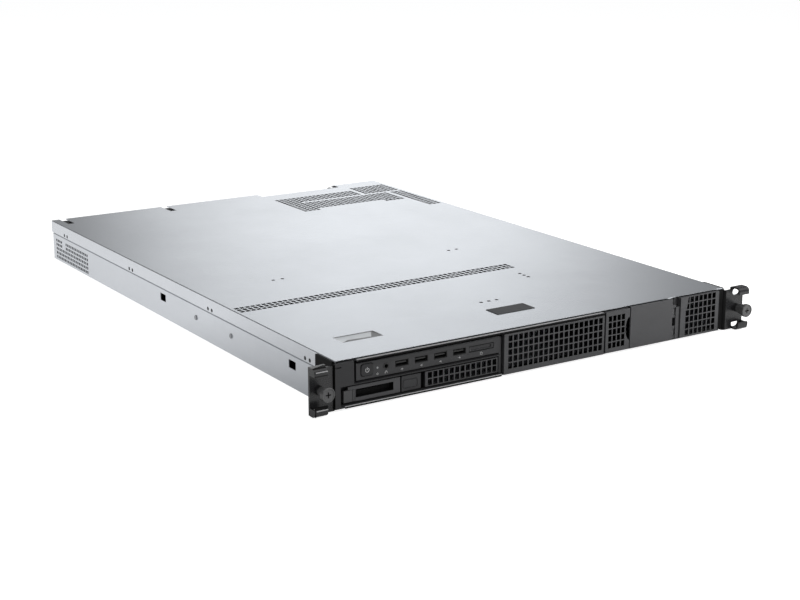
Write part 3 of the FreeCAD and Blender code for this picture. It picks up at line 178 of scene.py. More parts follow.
# First row, row spacing and height of each grille's holes, and how many rows.
GRILLE_ROWS = {
    "main_grille": (7.6, 6.34, 4.4, 5), "side_grille": (7.6, 6.34, 4.4, 5),
    "right_grille": (5.1, 6.3, 4.4, 6), "lower_grille": (6.7, 6.34, 4.4, 2),
}
# The grille hole walls, within the sheet and away from the rim, get painted shade.
GRILLE_SHEET = 1.85
GRILLE_RIM = 0.5
GRILLE_ROUND = 0.12
HOLE_WALL_TILT = 0.6

# Faces of the ears dark with painted shade: folds nearer the middle than these x, left hood tops this far
# ahead of the edge.
EAR_FOLD_X = 219.4
EAR_FOLD_WALL_X = 219.9
EAR_WALL_TILT = 0.5
HOOD_ROOF_FRONT = 3.0
HOOD_ROOF_TILT = 0.8
EAR_ROUND = 0.15

# Recess of the carrier, dark with painted shade, and the share of its edge rounding.
CARRIER_RECESS_X = (-197.0, -159.0)
CARRIER_RECESS_Z = (8.2, 16.2)
CARRIER_RECESS_BACK = 0.3
CARRIER_ROUND = 0.8

# Long lines of the front frame, painted highlight in grey and painted shade in black: x from, x to, back
# from, back to, z from, z to, finish.
PAINTED_FRONT_LINES = (
    (-214.0, 97.0, -0.15, 0.2, 41.85, 42.75, "shade_black"),
    (152.0, 209.0, -0.15, 0.2, 41.85, 42.75, "shade_black"),
    (-196.0, 67.0, -3.2, -0.4, 41.75, 41.86, "painted_highlight_grey"),
    (-196.0, 67.0, -4.55, -4.3, 40.6, 41.78, "shade_black"),
    (-209.0, -48.7, -4.55, -4.2, 2.0, 3.45, "shade_black"),
    (-209.0, -48.7, -4.50, -4.1, 3.45, 4.06, "painted_highlight_grey"),
    (209.2, 218.2, -0.65, -0.4, 2.5, 41.7, "shade_black"),
    (-218.45, -218.2, -4.3, -1.0, 2.5, 41.7, "shade_black"),
)

# Carried-over pieces with rounded edges: share of the edge rounding.
ROUNDED = {
    "bezel_frame": 1.0, "io_panel": 1.0, "blank_plug": 1.0, "carrier_latch": 1.0, "power_button": 1.4,
    "access_door": 1.0, "hinge_post": 0.8, "cover_pad": 0.9, "psu_module": 1.0, "psu_lever": 1.0,
    "card_reader": 0.6, "usb_ports": 0.5,
}

# Carried-over pieces whose finish isn't the one that their slot names.
# Near-black finishes on the cages, storage modules, port board, expansion card, supply cage and card bracket
# are painted shade seen through the openings; socket black on the USB port shells is painted shade in the
# sockets.
OTHER_FINISH = {
    "module_cage": "matt_painted_shade", "storage_modules": "matt_painted_shade", "carrier_cage": "matt_painted_shade",
    "port_board": "matt_painted_shade", "usb_ports": "socket_black", "card_reader": "panel_black",
    "hinge_post": "door_black", "expansion_card": "cooler_dark", "psu_cage": "cooler_dark",
    "card_bracket": "cooler_dark",
}

# Studio. Lamps, in metres and watts: name, place, aim, size, power, seen in reflections or not.
LAMPS = (
    ("key", (-1.2, -1.6, 2.2), (0, 0, 0), (2.8, 2.4), 27, True),
    ("edge", (0.85, -0.80, 1.25), (0.05, -0.3, 0), (2.1, 2.1), 13, True),
    ("side", (0.80, -0.80, 0.30), (0.15, -0.3, 0), (0.5, 0.3), 7, False),
)
CAMERA_X, CAMERA_AHEAD, CAMERA_Z = -0.8577, 1.097, 0.4442
CAMERA_DOWN, CAMERA_ROLL, CAMERA_TURN = 15.358, 0.04, -32.76
CAMERA_LENS = 72.92
CAMERA_SENSOR = 36
CAMERA_CLIP = 0.01
FLOOR_HALF = 6
FLOOR_GAP = 0.0002
FLOOR_GREY = 0.55
FLOOR_ROUGH = 0.9
FLOOR_SEEN = 0.84
FLOOR_SHINE = (0.12, 0.78)
FLOOR_SHINE_LONG = 0.34
FRONT_SHINE = 0.5
FRONT_SHINE_FROM, FRONT_SHINE_TO = -0.03, 0.02
GLOW_AZIMUTH = 32.0
GLOW_HEIGHT = 11.0
GLOW_SPREAD = 12.5
GLOW_LEVEL = 1.52
ROOM_LEVEL = 0.24
ROOM_TINT = (0.97, 0.985, 1.0, 1)
WHITE = (1, 1, 1, 1)


# ------------------------------------------------------------------ settings
class CoverSettings(bpy.types.PropertyGroup):
    """Sizes of the pressed and punched cover."""

    sheet: FloatProperty(
        name="Sheet thickness", description="Thickness of the cover sheet", default=0.8 * MM, unit="LENGTH")
    bend: FloatProperty(
        name="Bend radius", description="Outside radius of the folds along the sides", default=0.9 * MM,
        unit="LENGTH")
    band_pitch: FloatProperty(
        name="Band pitch", description="Spacing of the vent holes across, and along the front band",
        default=5.65 * MM, unit="LENGTH")
    vent_pitch: FloatProperty(
        name="Vent pitch", description="Spacing of the rear vent holes from front to back", default=6.4 * MM,
        unit="LENGTH")
    open_share: FloatProperty(
        name="Open share", description="Width of each hole as a share of its spacing", default=0.76)
    vent_sheet: FloatProperty(
        name="Vent sheet", description="Thickness of the sheet thinned round the holes", default=0.25 * MM,
        unit="LENGTH")
    dimple: FloatProperty(
        name="Dimple radius", description="Radius of the small pressed dimples", default=1.9 * MM,
        unit="LENGTH")


class FrontSettings(bpy.types.PropertyGroup):
    """Sizes of the marks, edges, grille holes and screw ribs on the front."""

    mark_line: FloatProperty(
        name="Mark line", description="Line width of the picture marks", default=0.45 * MM, unit="LENGTH")
    mark_height: FloatProperty(
        name="Mark height", description="How far the printed marks stand off the panel", default=0.04 * MM,
        unit="LENGTH")
    edge_round: FloatProperty(
        name="Edge rounding", description="Rounding on the moulded front pieces", default=0.34 * MM,
        unit="LENGTH")
    hole_growth: FloatProperty(
        name="Hole growth", description="How much further each grille hole reaches up and down",
        default=0.42 * MM, unit="LENGTH")
    ring_ribs: IntProperty(name="Screw ribs", description="Fine ribs round each ear screw", default=40)


class FinishSettings(bpy.types.PropertyGroup):
    """Main colours."""

    sheet_tint: FloatVectorProperty(
        name="Sheet", description="Colour of the bare sheet", default=(0.590, 0.612, 0.645), size=3, min=0,
        max=1, subtype="COLOR")
    front_tint: FloatVectorProperty(
        name="Front", description="Colour of the dark front pieces", default=(0.034, 0.034, 0.036), size=3,
        min=0, max=1, subtype="COLOR")
    mark_tint: FloatVectorProperty(
        name="Marks", description="Colour of the printed marks", default=(0.45, 0.45, 0.45), size=3, min=0,
        max=1, subtype="COLOR")


# ------------------------------------------------------------------ mesh help
def spot(x, d, z):
    """A point from millimetres: across, back from the cover's front edge, and up."""
    return Vector((x * MM, front_edge + d * MM, z * MM))


def piece_from(name, bm, body, look, smooth=False):
    """Turns a bmesh into a piece that rides on a body."""
    mesh = bpy.data.meshes.new(name)
    bm.to_mesh(mesh)
    bm.free()
    if smooth:
        for face in mesh.polygons:
            face.use_smooth = True
    obj = bpy.data.objects.new(name, mesh)
    bpy.context.scene.collection.objects.link(obj)
    mesh.materials.append(finishes[look])
    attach(obj, body)
    return obj


def slab(bm, low, high):
    """A closed cuboid between two corners."""
    x0, y0, z0 = low
    x1, y1, z1 = high
    verts = [bm.verts.new((x, y, z)) for x in (x0, x1) for y in (y0, y1) for z in (z0, z1)]
    for ids in ((0, 1, 3, 2), (4, 6, 7, 5), (0, 4, 5, 1), (2, 3, 7, 6), (0, 2, 6, 4), (1, 5, 7, 3)):
        bm.faces.new([verts[i] for i in ids])


def slabs_from(name, corners, body, look):
    """A piece made of closed cuboids, each between two corners."""
    bm = bmesh.new()
    for low, high in corners:
        slab(bm, low, high)
    return piece_from(name, bm, body, look)


def edge_finish(obj, width, segments=2):
    """Rounds the hard edges of a piece with modifiers only."""
    weld = obj.modifiers.new("Weld", "WELD")
    weld.merge_threshold = MERGE
    flat = obj.modifiers.new("Flat faces", "DECIMATE")
    flat.decimate_type = "DISSOLVE"
    flat.angle_limit = math.radians(FLAT_ANGLE)
    bevel = obj.modifiers.new("Rounding", "BEVEL")
    bevel.width = width
    bevel.segments = segments
    bevel.limit_method = "ANGLE"
    bevel.angle_limit = math.radians(SHARP_ANGLE)
    bevel.use_clamp_overlap = True
    bevel.harden_normals = False


def hidden_shape(name, bm):
    """A source shape for instances, kept out of the scene."""
    mesh = bpy.data.meshes.new(name)
    bm.to_mesh(mesh)
    bm.free()
    return bpy.data.objects.new(name, mesh)


def joined(meshes):
    """One bmesh from several plain meshes."""
    bm = bmesh.new()
    for mesh in meshes:
        bm.from_mesh(mesh)
    return bm


# ------------------------------------------------------------------ node help
def wire(tree, *pairs):
    """Links each output socket to its input socket."""
    for source, target in pairs:
        tree.links.new(source, target)


def math_node(tree, operation, *values):
    """A Math node whose inputs are sockets or numbers."""
    node = tree.nodes.new("ShaderNodeMath")
    node.operation = operation
    for socket, value in zip(node.inputs, values):
        if isinstance(value, (int, float)):
            socket.default_value = value
        else:
            tree.links.new(value, socket)
    return node.outputs[0]


# ------------------------------------------------------------------ geometry node trees
def new_tree(name, inputs):
    """A geometry tree with inputs of the given kinds; returns it, its input node and the identifiers."""
    tree = bpy.data.node_groups.new(name, "GeometryNodeTree")
    names = {}
    for label, kind in inputs.items():
        socket = tree.interface.new_socket(label, in_out="INPUT", socket_type="NodeSocket" + kind)
        names[label] = socket.identifier
    tree.interface.new_socket("Geometry", in_out="OUTPUT", socket_type="NodeSocketGeometry")
    return tree, tree.nodes.new("NodeGroupInput"), names


def instances(tree, points, source):
    """Puts an object's shape on points; returns the Instance on Points node."""
    info = tree.nodes.new("GeometryNodeObjectInfo")
    place = tree.nodes.new("GeometryNodeInstanceOnPoints")
    wire(tree, (source, info.inputs["Object"]), (points, place.inputs["Points"]),
         (info.outputs["Geometry"], place.inputs["Instance"]))
    return place


def close_tree(tree, geometry, given):
    """Ends a tree in Realize Instances, Merge by Distance and Set Material."""
    real = tree.nodes.new("GeometryNodeRealizeInstances")
    merge = tree.nodes.new("GeometryNodeMergeByDistance")
    merge.inputs["Distance"].default_value = TREE_MERGE
    paint = tree.nodes.new("GeometryNodeSetMaterial")
    out = tree.nodes.new("NodeGroupOutput")
    wire(tree, (geometry, real.inputs["Geometry"]), (real.outputs["Geometry"], merge.inputs["Geometry"]),
         (merge.outputs["Geometry"], paint.inputs["Geometry"]),
         (given.outputs["Material"], paint.inputs["Material"]), (paint.outputs["Geometry"], out.inputs[0]))


def vent_tree():
    """A grid of identical punched cells."""
    tree, given, names = new_tree("Vent field", {
        "Columns": "Int", "Rows": "Int", "Pitch": "Float", "Row pitch": "Float", "Centre": "Vector",
        "Cell": "Object", "Material": "Material"})
    field = tree.nodes.new("GeometryNodeMeshGrid")
    for count, pitch, axis in (("Columns", "Pitch", "X"), ("Rows", "Row pitch", "Y")):
        gaps = math_node(tree, "SUBTRACT", given.outputs[count], 1)
        span = math_node(tree, "MULTIPLY", gaps, given.outputs[pitch])
        wire(tree, (given.outputs[count], field.inputs["Vertices " + axis]),
             (span, field.inputs["Size " + axis]))
    move = tree.nodes.new("GeometryNodeTransform")
    wire(tree, (field.outputs["Mesh"], move.inputs["Geometry"]),
         (given.outputs["Centre"], move.inputs["Translation"]))
    place = instances(tree, move.outputs["Geometry"], given.outputs["Cell"])
    close_tree(tree, place.outputs["Instances"], given)
    return tree, names


def stud_tree():
    """One small shape on every vertex of the base mesh."""
    tree, given, names = new_tree("Studs on points", {
        "Geometry": "Geometry", "Stud": "Object", "Material": "Material"})
    place = instances(tree, given.outputs["Geometry"], given.outputs["Stud"])
    close_tree(tree, place.outputs["Instances"], given)
    return tree, names


def ring_tree():
    """Thin ribs placed round a circle that faces along Y."""
    tree, given, names = new_tree("Ribs round a ring", {
        "Count": "Int", "Radius": "Float", "Centre": "Vector", "Rib": "Object", "Material": "Material"})
    circle = tree.nodes.new("GeometryNodeMeshCircle")
    where = tree.nodes.new("GeometryNodeInputPosition")
    aim = tree.nodes.new("FunctionNodeAlignRotationToVector")
    aim.axis = "X"
    place = instances(tree, circle.outputs["Mesh"], given.outputs["Rib"])
    turn = tree.nodes.new("GeometryNodeTransform")
    turn.inputs["Rotation"].default_value = Euler((math.radians(90), 0, 0))
    wire(tree, (given.outputs["Count"], circle.inputs["Vertices"]),
         (given.outputs["Radius"], circle.inputs["Radius"]), (where.outputs[0], aim.inputs["Vector"]),
         (aim.outputs[0], place.inputs["Rotation"]), (place.outputs["Instances"], turn.inputs["Geometry"]),
         (given.outputs["Centre"], turn.inputs["Translation"]))
    close_tree(tree, turn.outputs["Geometry"], given)
    return tree, names


def grown(tree, names, values, base=None):
    """The plain mesh that a tree gives for these input values."""
    holder = bpy.data.objects.new("holder", base or bpy.data.meshes.new("holder"))
    bpy.context.scene.collection.objects.link(holder)
    mod = holder.modifiers.new("Tree", "NODES")
    mod.node_group = tree
    for label, value in values.items():
        mod[names[label]] = value
    bpy.context.view_layer.update()
    evaluated = holder.evaluated_get(bpy.context.evaluated_depsgraph_get())
    mesh = bpy.data.meshes.new_from_object(evaluated)
    bpy.data.objects.remove(holder)
    return mesh


# ------------------------------------------------------------------ shader groups
def new_group(name, amount):
    """A shader group with the sockets that every finish uses; amount names its third input."""
    group = bpy.data.node_groups.new(name, "ShaderNodeTree")
    given = (("Vector", "Vector"), ("Colour", "Color"), (amount, "Float"), ("Roughness", "Float"))
    made = (("Colour", "Color"), ("Roughness", "Float"), ("Height", "Float"))
    for way, sockets in (("INPUT", given), ("OUTPUT", made)):
        for label, kind in sockets:
            group.interface.new_socket(label, in_out=way, socket_type="NodeSocket" + kind)
    return group, group.nodes.new("NodeGroupInput"), group.nodes.new("NodeGroupOutput")


def close_group(group, given, out, level, amount, roughened, height):
    """Ends a group: its colour scaled round one by level, roughness added to, and height."""
    shade = math_node(group, "ADD", math_node(group, "MULTIPLY", level, given.outputs[amount]), 1.0)
    scaled = group.nodes.new("ShaderNodeVectorMath")
    scaled.operation = "SCALE"
    rough = math_node(group, "ADD", given.outputs["Roughness"], roughened)
    wire(group, (given.outputs["Colour"], scaled.inputs[0]), (shade, scaled.inputs["Scale"]),
         (scaled.outputs[0], out.inputs["Colour"]), (rough, out.inputs["Roughness"]),
         (height, out.inputs["Height"]))
    return group


def noise(tree, vector, scale, detail, rough):
    """A Noise texture's grey output."""
    node = tree.nodes.new("ShaderNodeTexNoise")
    for label, value in (("Scale", scale), ("Detail", detail), ("Roughness", rough)):
        node.inputs[label].default_value = value
    tree.links.new(vector, node.inputs["Vector"])
    return node.outputs["Fac"]


def ranged(tree, value, low, high, to_low, to_high):
    """A Map Range node's output."""
    node = tree.nodes.new("ShaderNodeMapRange")
    for label, edge in (("From Min", low), ("From Max", high), ("To Min", to_low), ("To Max", to_high)):
        node.inputs[label].default_value = edge
    tree.links.new(value, node.inputs["Value"])
    return node.outputs["Result"]


def object_coords(tree):
    """Object coordinates for textures."""
    return tree.nodes.new("ShaderNodeTexCoord").outputs["Object"]


def zinc_group():
    """Mottled zinc: large soft clouds, small crystals and fine rolling lines."""
    group, given, out = new_group("Zinc mottle", "Depth")
    vector = given.outputs["Vector"]
    crystals = group.nodes.new("ShaderNodeTexVoronoi")
    crystals.inputs["Scale"].default_value = 150
    crystals.inputs["Randomness"].default_value = 1
    grey = group.nodes.new("ShaderNodeSeparateColor")
    wire(group, (vector, crystals.inputs["Vector"]), (crystals.outputs["Color"], grey.inputs[0]))
    clouds = noise(group, vector, 9, 4, 0.6)
    fine = noise(group, vector, 420, 2, 0.6)
    mix = math_node(group, "ADD", math_node(group, "MULTIPLY", grey.outputs[0], 0.12),
                    math_node(group, "MULTIPLY", clouds, 1.1))
    mix = math_node(group, "ADD", mix, math_node(group, "MULTIPLY", fine, 0.2))
    level = ranged(group, mix, 0.4, 1.1, -1, 1)
    roughened = math_node(group, "MULTIPLY", level, -0.012)
    return close_group(group, given, out, level, "Depth", roughened, fine)


def grain_group():
    """Fine moulded or painted grain with faint wear."""
    group, given, out = new_group("Fine grain", "Grain")
    vector = given.outputs["Vector"]
    grain = noise(group, vector, 2600, 2, 0.5)
    patches = noise(group, vector, 60, 3, 0.55)
    level = ranged(group, patches, 0.3, 0.7, -1, 1)
    roughened = math_node(group, "MULTIPLY", math_node(group, "SUBTRACT", grain, 0.5), 0.18)
    return close_group(group, given, out, level, "Grain", roughened, grain)


# ------------------------------------------------------------------ finishes
def finish(name, group, colour, amount, rough, metallic=0.0, bump=0.02, coat=0.0, specular=None):
    """A finish from one of the shared groups."""
    mat = bpy.data.materials.new(name)
    mat.use_nodes = True
    tree = mat.node_tree
    skin = tree.nodes["Principled BSDF"]
    effect = tree.nodes.new("ShaderNodeGroup")
    effect.node_tree = shader_groups[group]
    effect.inputs["Colour"].default_value = (*colour, 1)
    effect.inputs[2].default_value = amount
    effect.inputs["Roughness"].default_value = rough
    skin.inputs["Metallic"].default_value = metallic
    if specular is not None:
        skin.inputs["Specular IOR Level"].default_value = specular
    if coat:
        skin.inputs["Coat Weight"].default_value = coat
    bumps = tree.nodes.new("ShaderNodeBump")
    bumps.inputs["Strength"].default_value = bump
    bumps.inputs["Distance"].default_value = BUMP_DEPTH
    wire(tree, (object_coords(tree), effect.inputs["Vector"]),
         (effect.outputs["Colour"], skin.inputs["Base Color"]),
         (effect.outputs["Roughness"], skin.inputs["Roughness"]),
         (effect.outputs["Height"], bumps.inputs["Height"]), (bumps.outputs["Normal"], skin.inputs["Normal"]))
    mat.diffuse_color = (*colour, 1)
    finishes[name] = mat
    return mat


def board_finish(name, colour):
    """Solder mask with fine copper lines under it."""
    tree = finish(name, "grain", colour, 0.2, 0.35, bump=0.05).node_tree
    red, green, blue = colour
    lines = tree.nodes.new("ShaderNodeTexBrick")
    lines.inputs["Scale"].default_value = 90
    lines.inputs["Mortar Size"].default_value = 0.03
    lines.inputs["Color1"].default_value = (*colour, 1)
    lines.inputs["Color2"].default_value = (red * 0.8, green * 0.8, blue * 0.8, 1)
    lines.inputs["Mortar"].default_value = (red * 2.2, green * 1.5, blue * 1.6, 1)
    wire(tree, (object_coords(tree), lines.inputs["Vector"]),
         (lines.outputs["Color"], tree.nodes["Principled BSDF"].inputs["Base Color"]))


def make_finishes():
    """Every finish of the server, by the slot name in the record where it has one."""
    look = bpy.context.scene.server_finish
    sheet = tuple(look.sheet_tint)
    front = tuple(look.front_tint)
    shader_groups["zinc"] = zinc_group()
    shader_groups["grain"] = grain_group()
    steel = [c * 0.95 for c in sheet]
    finish("cover_steel", "zinc", sheet, 0.035, 0.24, metallic=0.9, bump=0.003)
    finish("zinc_steel", "zinc", sheet, 0.03, 0.32, metallic=0.9, bump=0.004)
    # Painted shade for the hollows of the pressed dimples.
    finish("dimple_painted_shade", "grain", (0.02, 0.02, 0.022), 0.1, 0.6)
    # On the expansion card, supply cage and card bracket this is painted shade seen through the vents.
    finish("cooler_dark", "grain", (0.03, 0.03, 0.033), 0.1, 0.45, metallic=0.6)
    # Near black: painted shade on insides seen through the openings, under the vents and in the screws' cross
    # slots.
    finish("matt_painted_shade", "grain", (0.003, 0.003, 0.003), 0.2, 0.8, specular=0.08)
    finish("shade_black", "grain", (0.004, 0.004, 0.004), 0.2, 0.6, specular=0.12)
    # Painted highlight for thin lines along lit edges.
    finish("painted_highlight_grey", "grain", (0.38, 0.38, 0.385), 0.1, 0.4)
    # Painted highlight and painted shade for the faces of the pressed grip.
    finish("grip_painted_highlight", "grain", (0.56, 0.58, 0.60), 0.03, 0.4)
    finish("grip_painted_shade", "grain", (0.17, 0.173, 0.178), 0.05, 0.5)
    finish("grip_end_painted_shade", "grain", (0.19, 0.192, 0.196), 0.05, 0.5)
    finish("inner_steel", "zinc", steel, 0.10, 0.45, metallic=0.9, bump=0.02)
    # Near black with little gloss: painted shade on the bulkhead seen through the grille holes.
    finish("bulkhead_black", "grain", (0.003, 0.003, 0.003), 0.2, 0.8, specular=0.08)
    finish("bezel_black", "grain", [c * 0.7 for c in front], 0.06, 0.33, bump=0.04, specular=0.3)
    finish("panel_black", "grain", [c * 0.8 for c in front], 0.06, 0.36, bump=0.04, specular=0.4)
    finish("door_black", "grain", [c * 1.2 for c in front], 0.06, 0.36, bump=0.04)
    finish("carrier_black", "grain", [c * 1.45 for c in front], 0.06, 0.34, bump=0.04)
    finish("latch_grey", "grain", (0.055, 0.055, 0.057), 0.06, 0.38, bump=0.04)
    finish("button_black", "grain", [c * 0.6 for c in front], 0.05, 0.34, bump=0.04, specular=0.3)
    finish("grille_grey", "grain", [c * 1.2 for c in front], 0.06, 0.32, bump=0.04)
    finish("ear_black", "grain", [c * 0.45 for c in front], 0.08, 0.27, bump=0.04)
    finish("knob_metal", "grain", (0.085, 0.085, 0.086), 0.08, 0.30, metallic=0.2, bump=0.03)
    finish("knob_black", "grain", (0.02, 0.02, 0.02), 0.08, 0.4, bump=0.03)
    finish("ferrule_steel", "grain", (0.05, 0.05, 0.052), 0.1, 0.35, metallic=0.8)
    finish("rivet_steel", "zinc", [c * 0.45 for c in sheet], 0.05, 0.35, metallic=0.9, bump=0.01)
    finish("screw_steel", "grain", (0.55, 0.55, 0.55), 0.08, 0.3, metallic=1.0)
    finish("standoff_brass", "grain", (0.6, 0.42, 0.16), 0.08, 0.3, metallic=1.0)
    finish("lamp_lens", "grain", (0.28, 0.29, 0.29), 0.05, 0.2, coat=0.5)
    finish("socket_black", "grain", (0.012, 0.012, 0.012), 0.1, 0.5)
    finish("socket_metal", "grain", (0.5, 0.5, 0.5), 0.08, 0.32, metallic=1.0)
    finish("port_metal", "grain", (0.16, 0.16, 0.165), 0.08, 0.34, metallic=0.9)
    board_finish("board_green", (0.012, 0.07, 0.03))
    board_finish("memory_green", (0.012, 0.06, 0.03))
    board_finish("stick_green", (0.012, 0.06, 0.03))
    finish("fan_plastic", "grain", (0.015, 0.015, 0.015), 0.08, 0.4)
    finish("rotor_plastic", "grain", (0.03, 0.03, 0.03), 0.08, 0.38)
    finish("cooler_aluminium", "grain", (0.6, 0.61, 0.62), 0.06, 0.35, metallic=1.0)
    finish("baffle_plastic", "grain", (0.03, 0.03, 0.035), 0.08, 0.35)
    finish("supply_metal", "zinc", steel, 0.08, 0.4, metallic=0.9)
    finish("lever_plastic", "grain", (0.4, 0.08, 0.02), 0.06, 0.4)
    finish("cable_black", "grain", (0.015, 0.015, 0.015), 0.08, 0.5)
    finish("pad_black", "grain", (0.04, 0.041, 0.043), 0.10, 0.55, bump=0.1)
    finish("mark_print", "grain", tuple(look.mark_tint), 0.04, 0.5)


# ------------------------------------------------------------------ cover
def punched_cell(name, wide, deep, open_share, sheet):
    """Sheet round one square hole, in the XY plane with its top at zero."""
    bm = bmesh.new()
    corners = [(-1, -1), (1, -1), (1, 1), (-1, 1)]
    rings = {}
    for level, z in (("top", 0), ("foot", -sheet)):
        for label, share in (("rim", 1.0), ("hole", open_share)):
            rings[label, level] = [bm.verts.new((cx * wide * share / 2, cy * deep * share / 2, z))
                                   for cx, cy in corners]
    rim, hole = rings["rim", "top"], rings["hole", "top"]
    low_rim, low_hole = rings["rim", "foot"], rings["hole", "foot"]
    for n in range(4):
        k = (n + 1) % 4
        bm.faces.new([rim[n], rim[k], hole[k], hole[n]])
        bm.faces.new([low_rim[k], low_rim[n], low_hole[n], low_hole[k]])
        bm.faces.new([hole[n], hole[k], low_hole[k], low_hole[n]])
    return hidden_shape(name, bm)


class SERVER_OT_cover(bpy.types.Operator):
    """Builds the punched cover sheet with its folds, grip, slots and vents"""

    bl_idname = "server.cover"
    bl_label = "Top cover"

    def execute(self, context):
        cover = context.scene.server_cover
        rear = (rear_edge - front_edge) / MM
        top = cover_top / MM
        sheet = self.sheet(cover, rear, top)
        vents = self.vents(cover, top)
        # Near-black screens under the vent fields: painted shade seen through the holes.
        screens = [(spot(x0, d0, top - SHADE_SCREEN_UNDER_TOP[0]), spot(x1, d1, top - SHADE_SCREEN_UNDER_TOP[1]))
                   for x0, x1, d0, d1 in VENT_FIELDS]
        slabs_from("vent_screens", screens, "cover", "matt_painted_shade")
        clip = (spot(CLIP_X[0], rear - STEP_DEEP + CLIP_GAPS[0], top - CLIP_THICK),
                spot(CLIP_X[1], rear - CLIP_GAPS[1], top))
        slabs_from("cover_clip", [clip], "cover", "knob_black")
        for piece in (sheet, vents, self.grip(top)):
            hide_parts("top_cover")
        return {"FINISHED"}

    @staticmethod
    def sheet(cover, rear, top):
        """The flat top with its openings, the folded sides and the step's upright, as thin sheet."""
        half = cover_high[0] / MM
        bend = cover.bend / MM
        step = rear - STEP_DEEP
        voids = [*VENT_FIELDS, (*STEP_X, step, rear), GRIP]
        voids += [(x - SLOT_HALF_WIDTH, x + SLOT_HALF_WIDTH, rear - SLOT_LONG, rear) for x in SLOT_CENTRES]
        xs = sorted({round(v, 3) for v in [-half + bend, half - bend] + [v for r in voids for v in r[:2]]})
        ds = sorted({round(v, 3) for v in [0.0, rear] + [v for r in voids for v in r[2:]]})
        bm = bmesh.new()
        grid = {}

        def vert(x, d, z):
            key = (round(x, 3), round(d, 3), round(z, 3))
            if key not in grid:
                grid[key] = bm.verts.new(spot(*key))
            return grid[key]

        for x0, x1 in zip(xs, xs[1:]):
            for d0, d1 in zip(ds, ds[1:]):
                cx, cd = (x0 + x1) / 2, (d0 + d1) / 2
                if not any(v[0] < cx < v[1] and v[2] < cd < v[3] for v in voids):
                    bm.faces.new([vert(x0, d0, top), vert(x1, d0, top), vert(x1, d1, top), vert(x0, d1, top)])
        for side in (-1, 1):
            fold = [(side * (half - bend + bend * math.sin(t)), top - bend + bend * math.cos(t))
                    for t in (math.radians(a) for a in (0, 22.5, 45, 67.5, 90))]
            fold.append((side * half, cover_low[2] / MM))
            for (x0, z0), (x1, z1) in zip(fold, fold[1:]):
                for d0, d1 in zip(ds, ds[1:]):
                    ring = [vert(x0, d0, z0), vert(x0, d1, z0), vert(x1, d1, z1), vert(x1, d0, z1)]
                    bm.faces.new(ring[::-1] if side < 0 else ring)
        drop = top - STEP_DROP
        columns = [x for x in xs if STEP_X[0] <= x <= STEP_X[1]]
        for a, b in zip(columns, columns[1:]):
            bm.faces.new([vert(a, step, top), vert(b, step, top), vert(b, step, drop), vert(a, step, drop)])
        bmesh.ops.recalc_face_normals(bm, faces=bm.faces)
        if max(bm.faces, key=lambda f: f.calc_area()).normal.z < 0:
            bmesh.ops.reverse_faces(bm, faces=bm.faces)
        sheet = piece_from("cover_sheet", bm, "cover", "cover_steel")
        thick = sheet.modifiers.new("Sheet", "SOLIDIFY")
        thick.thickness = cover.sheet
        thick.offset = -1
        return sheet

    @staticmethod
    def vents(cover, top):
        """Fields of square holes; the holes fit each field, at about the set spacing."""
        tree, names = vent_tree()
        meshes = []
        for n, (x0, x1, d0, d1) in enumerate(VENT_FIELDS):
            cols = round((x1 - x0) * MM / cover.band_pitch)
            rows = round((d1 - d0) * MM / (cover.vent_pitch if n else cover.band_pitch))
            wide, deep = (x1 - x0) / cols * MM, (d1 - d0) / rows * MM
            cell = punched_cell("cell_%d" % n, wide, deep, cover.open_share, cover.vent_sheet)
            meshes.append(grown(tree, names, {
                "Columns": cols, "Rows": rows, "Pitch": wide, "Row pitch": deep, "Cell": cell,
                "Material": finishes["cover_steel"],
                "Centre": tuple(spot((x0 + x1) / 2, (d0 + d1) / 2, top))}))
        return piece_from("cover_vents", joined(meshes), "cover", "cover_steel")

    @staticmethod
    def grip(top):
        """The pressed grip: a shallow tray with sloped ends and front, near upright at the rear; painted
        highlight on its floor and left end, painted shade on the rest.
        """
        x0, x1, d0, d1 = GRIP
        corners = ((x0, d0), (x1, d0), (x1, d1), (x0, d1))
        bm = bmesh.new()
        rim = [bm.verts.new(spot(x, d, top)) for x, d in corners]
        base = [bm.verts.new(spot(x + dx, d + dd, top - GRIP_DEPTH))
                for (x, d), (dx, dd) in zip(corners, GRIP_SLOPES)]
        bm.faces.new(base)
        for n in range(4):
            bm.faces.new([rim[n], rim[(n + 1) % 4], base[(n + 1) % 4], base[n]])
        bm.faces.ensure_lookup_table()
        bmesh.ops.recalc_face_normals(bm, faces=bm.faces)
        if bm.faces[0].normal.z < 0:
            bmesh.ops.reverse_faces(bm, faces=bm.faces)
        # Floor and left end in painted highlight; front, rear and right end in painted shade.
        tray = piece_from("cover_grip", bm, "cover", "grip_painted_highlight")
        tray.data.materials.append(finishes["grip_painted_shade"])
        tray.data.materials.append(finishes["grip_end_painted_shade"])
        for face, kind in zip(tray.data.polygons, (0, 1, 2, 1, 0)):
            face.material_index = kind
        return tray


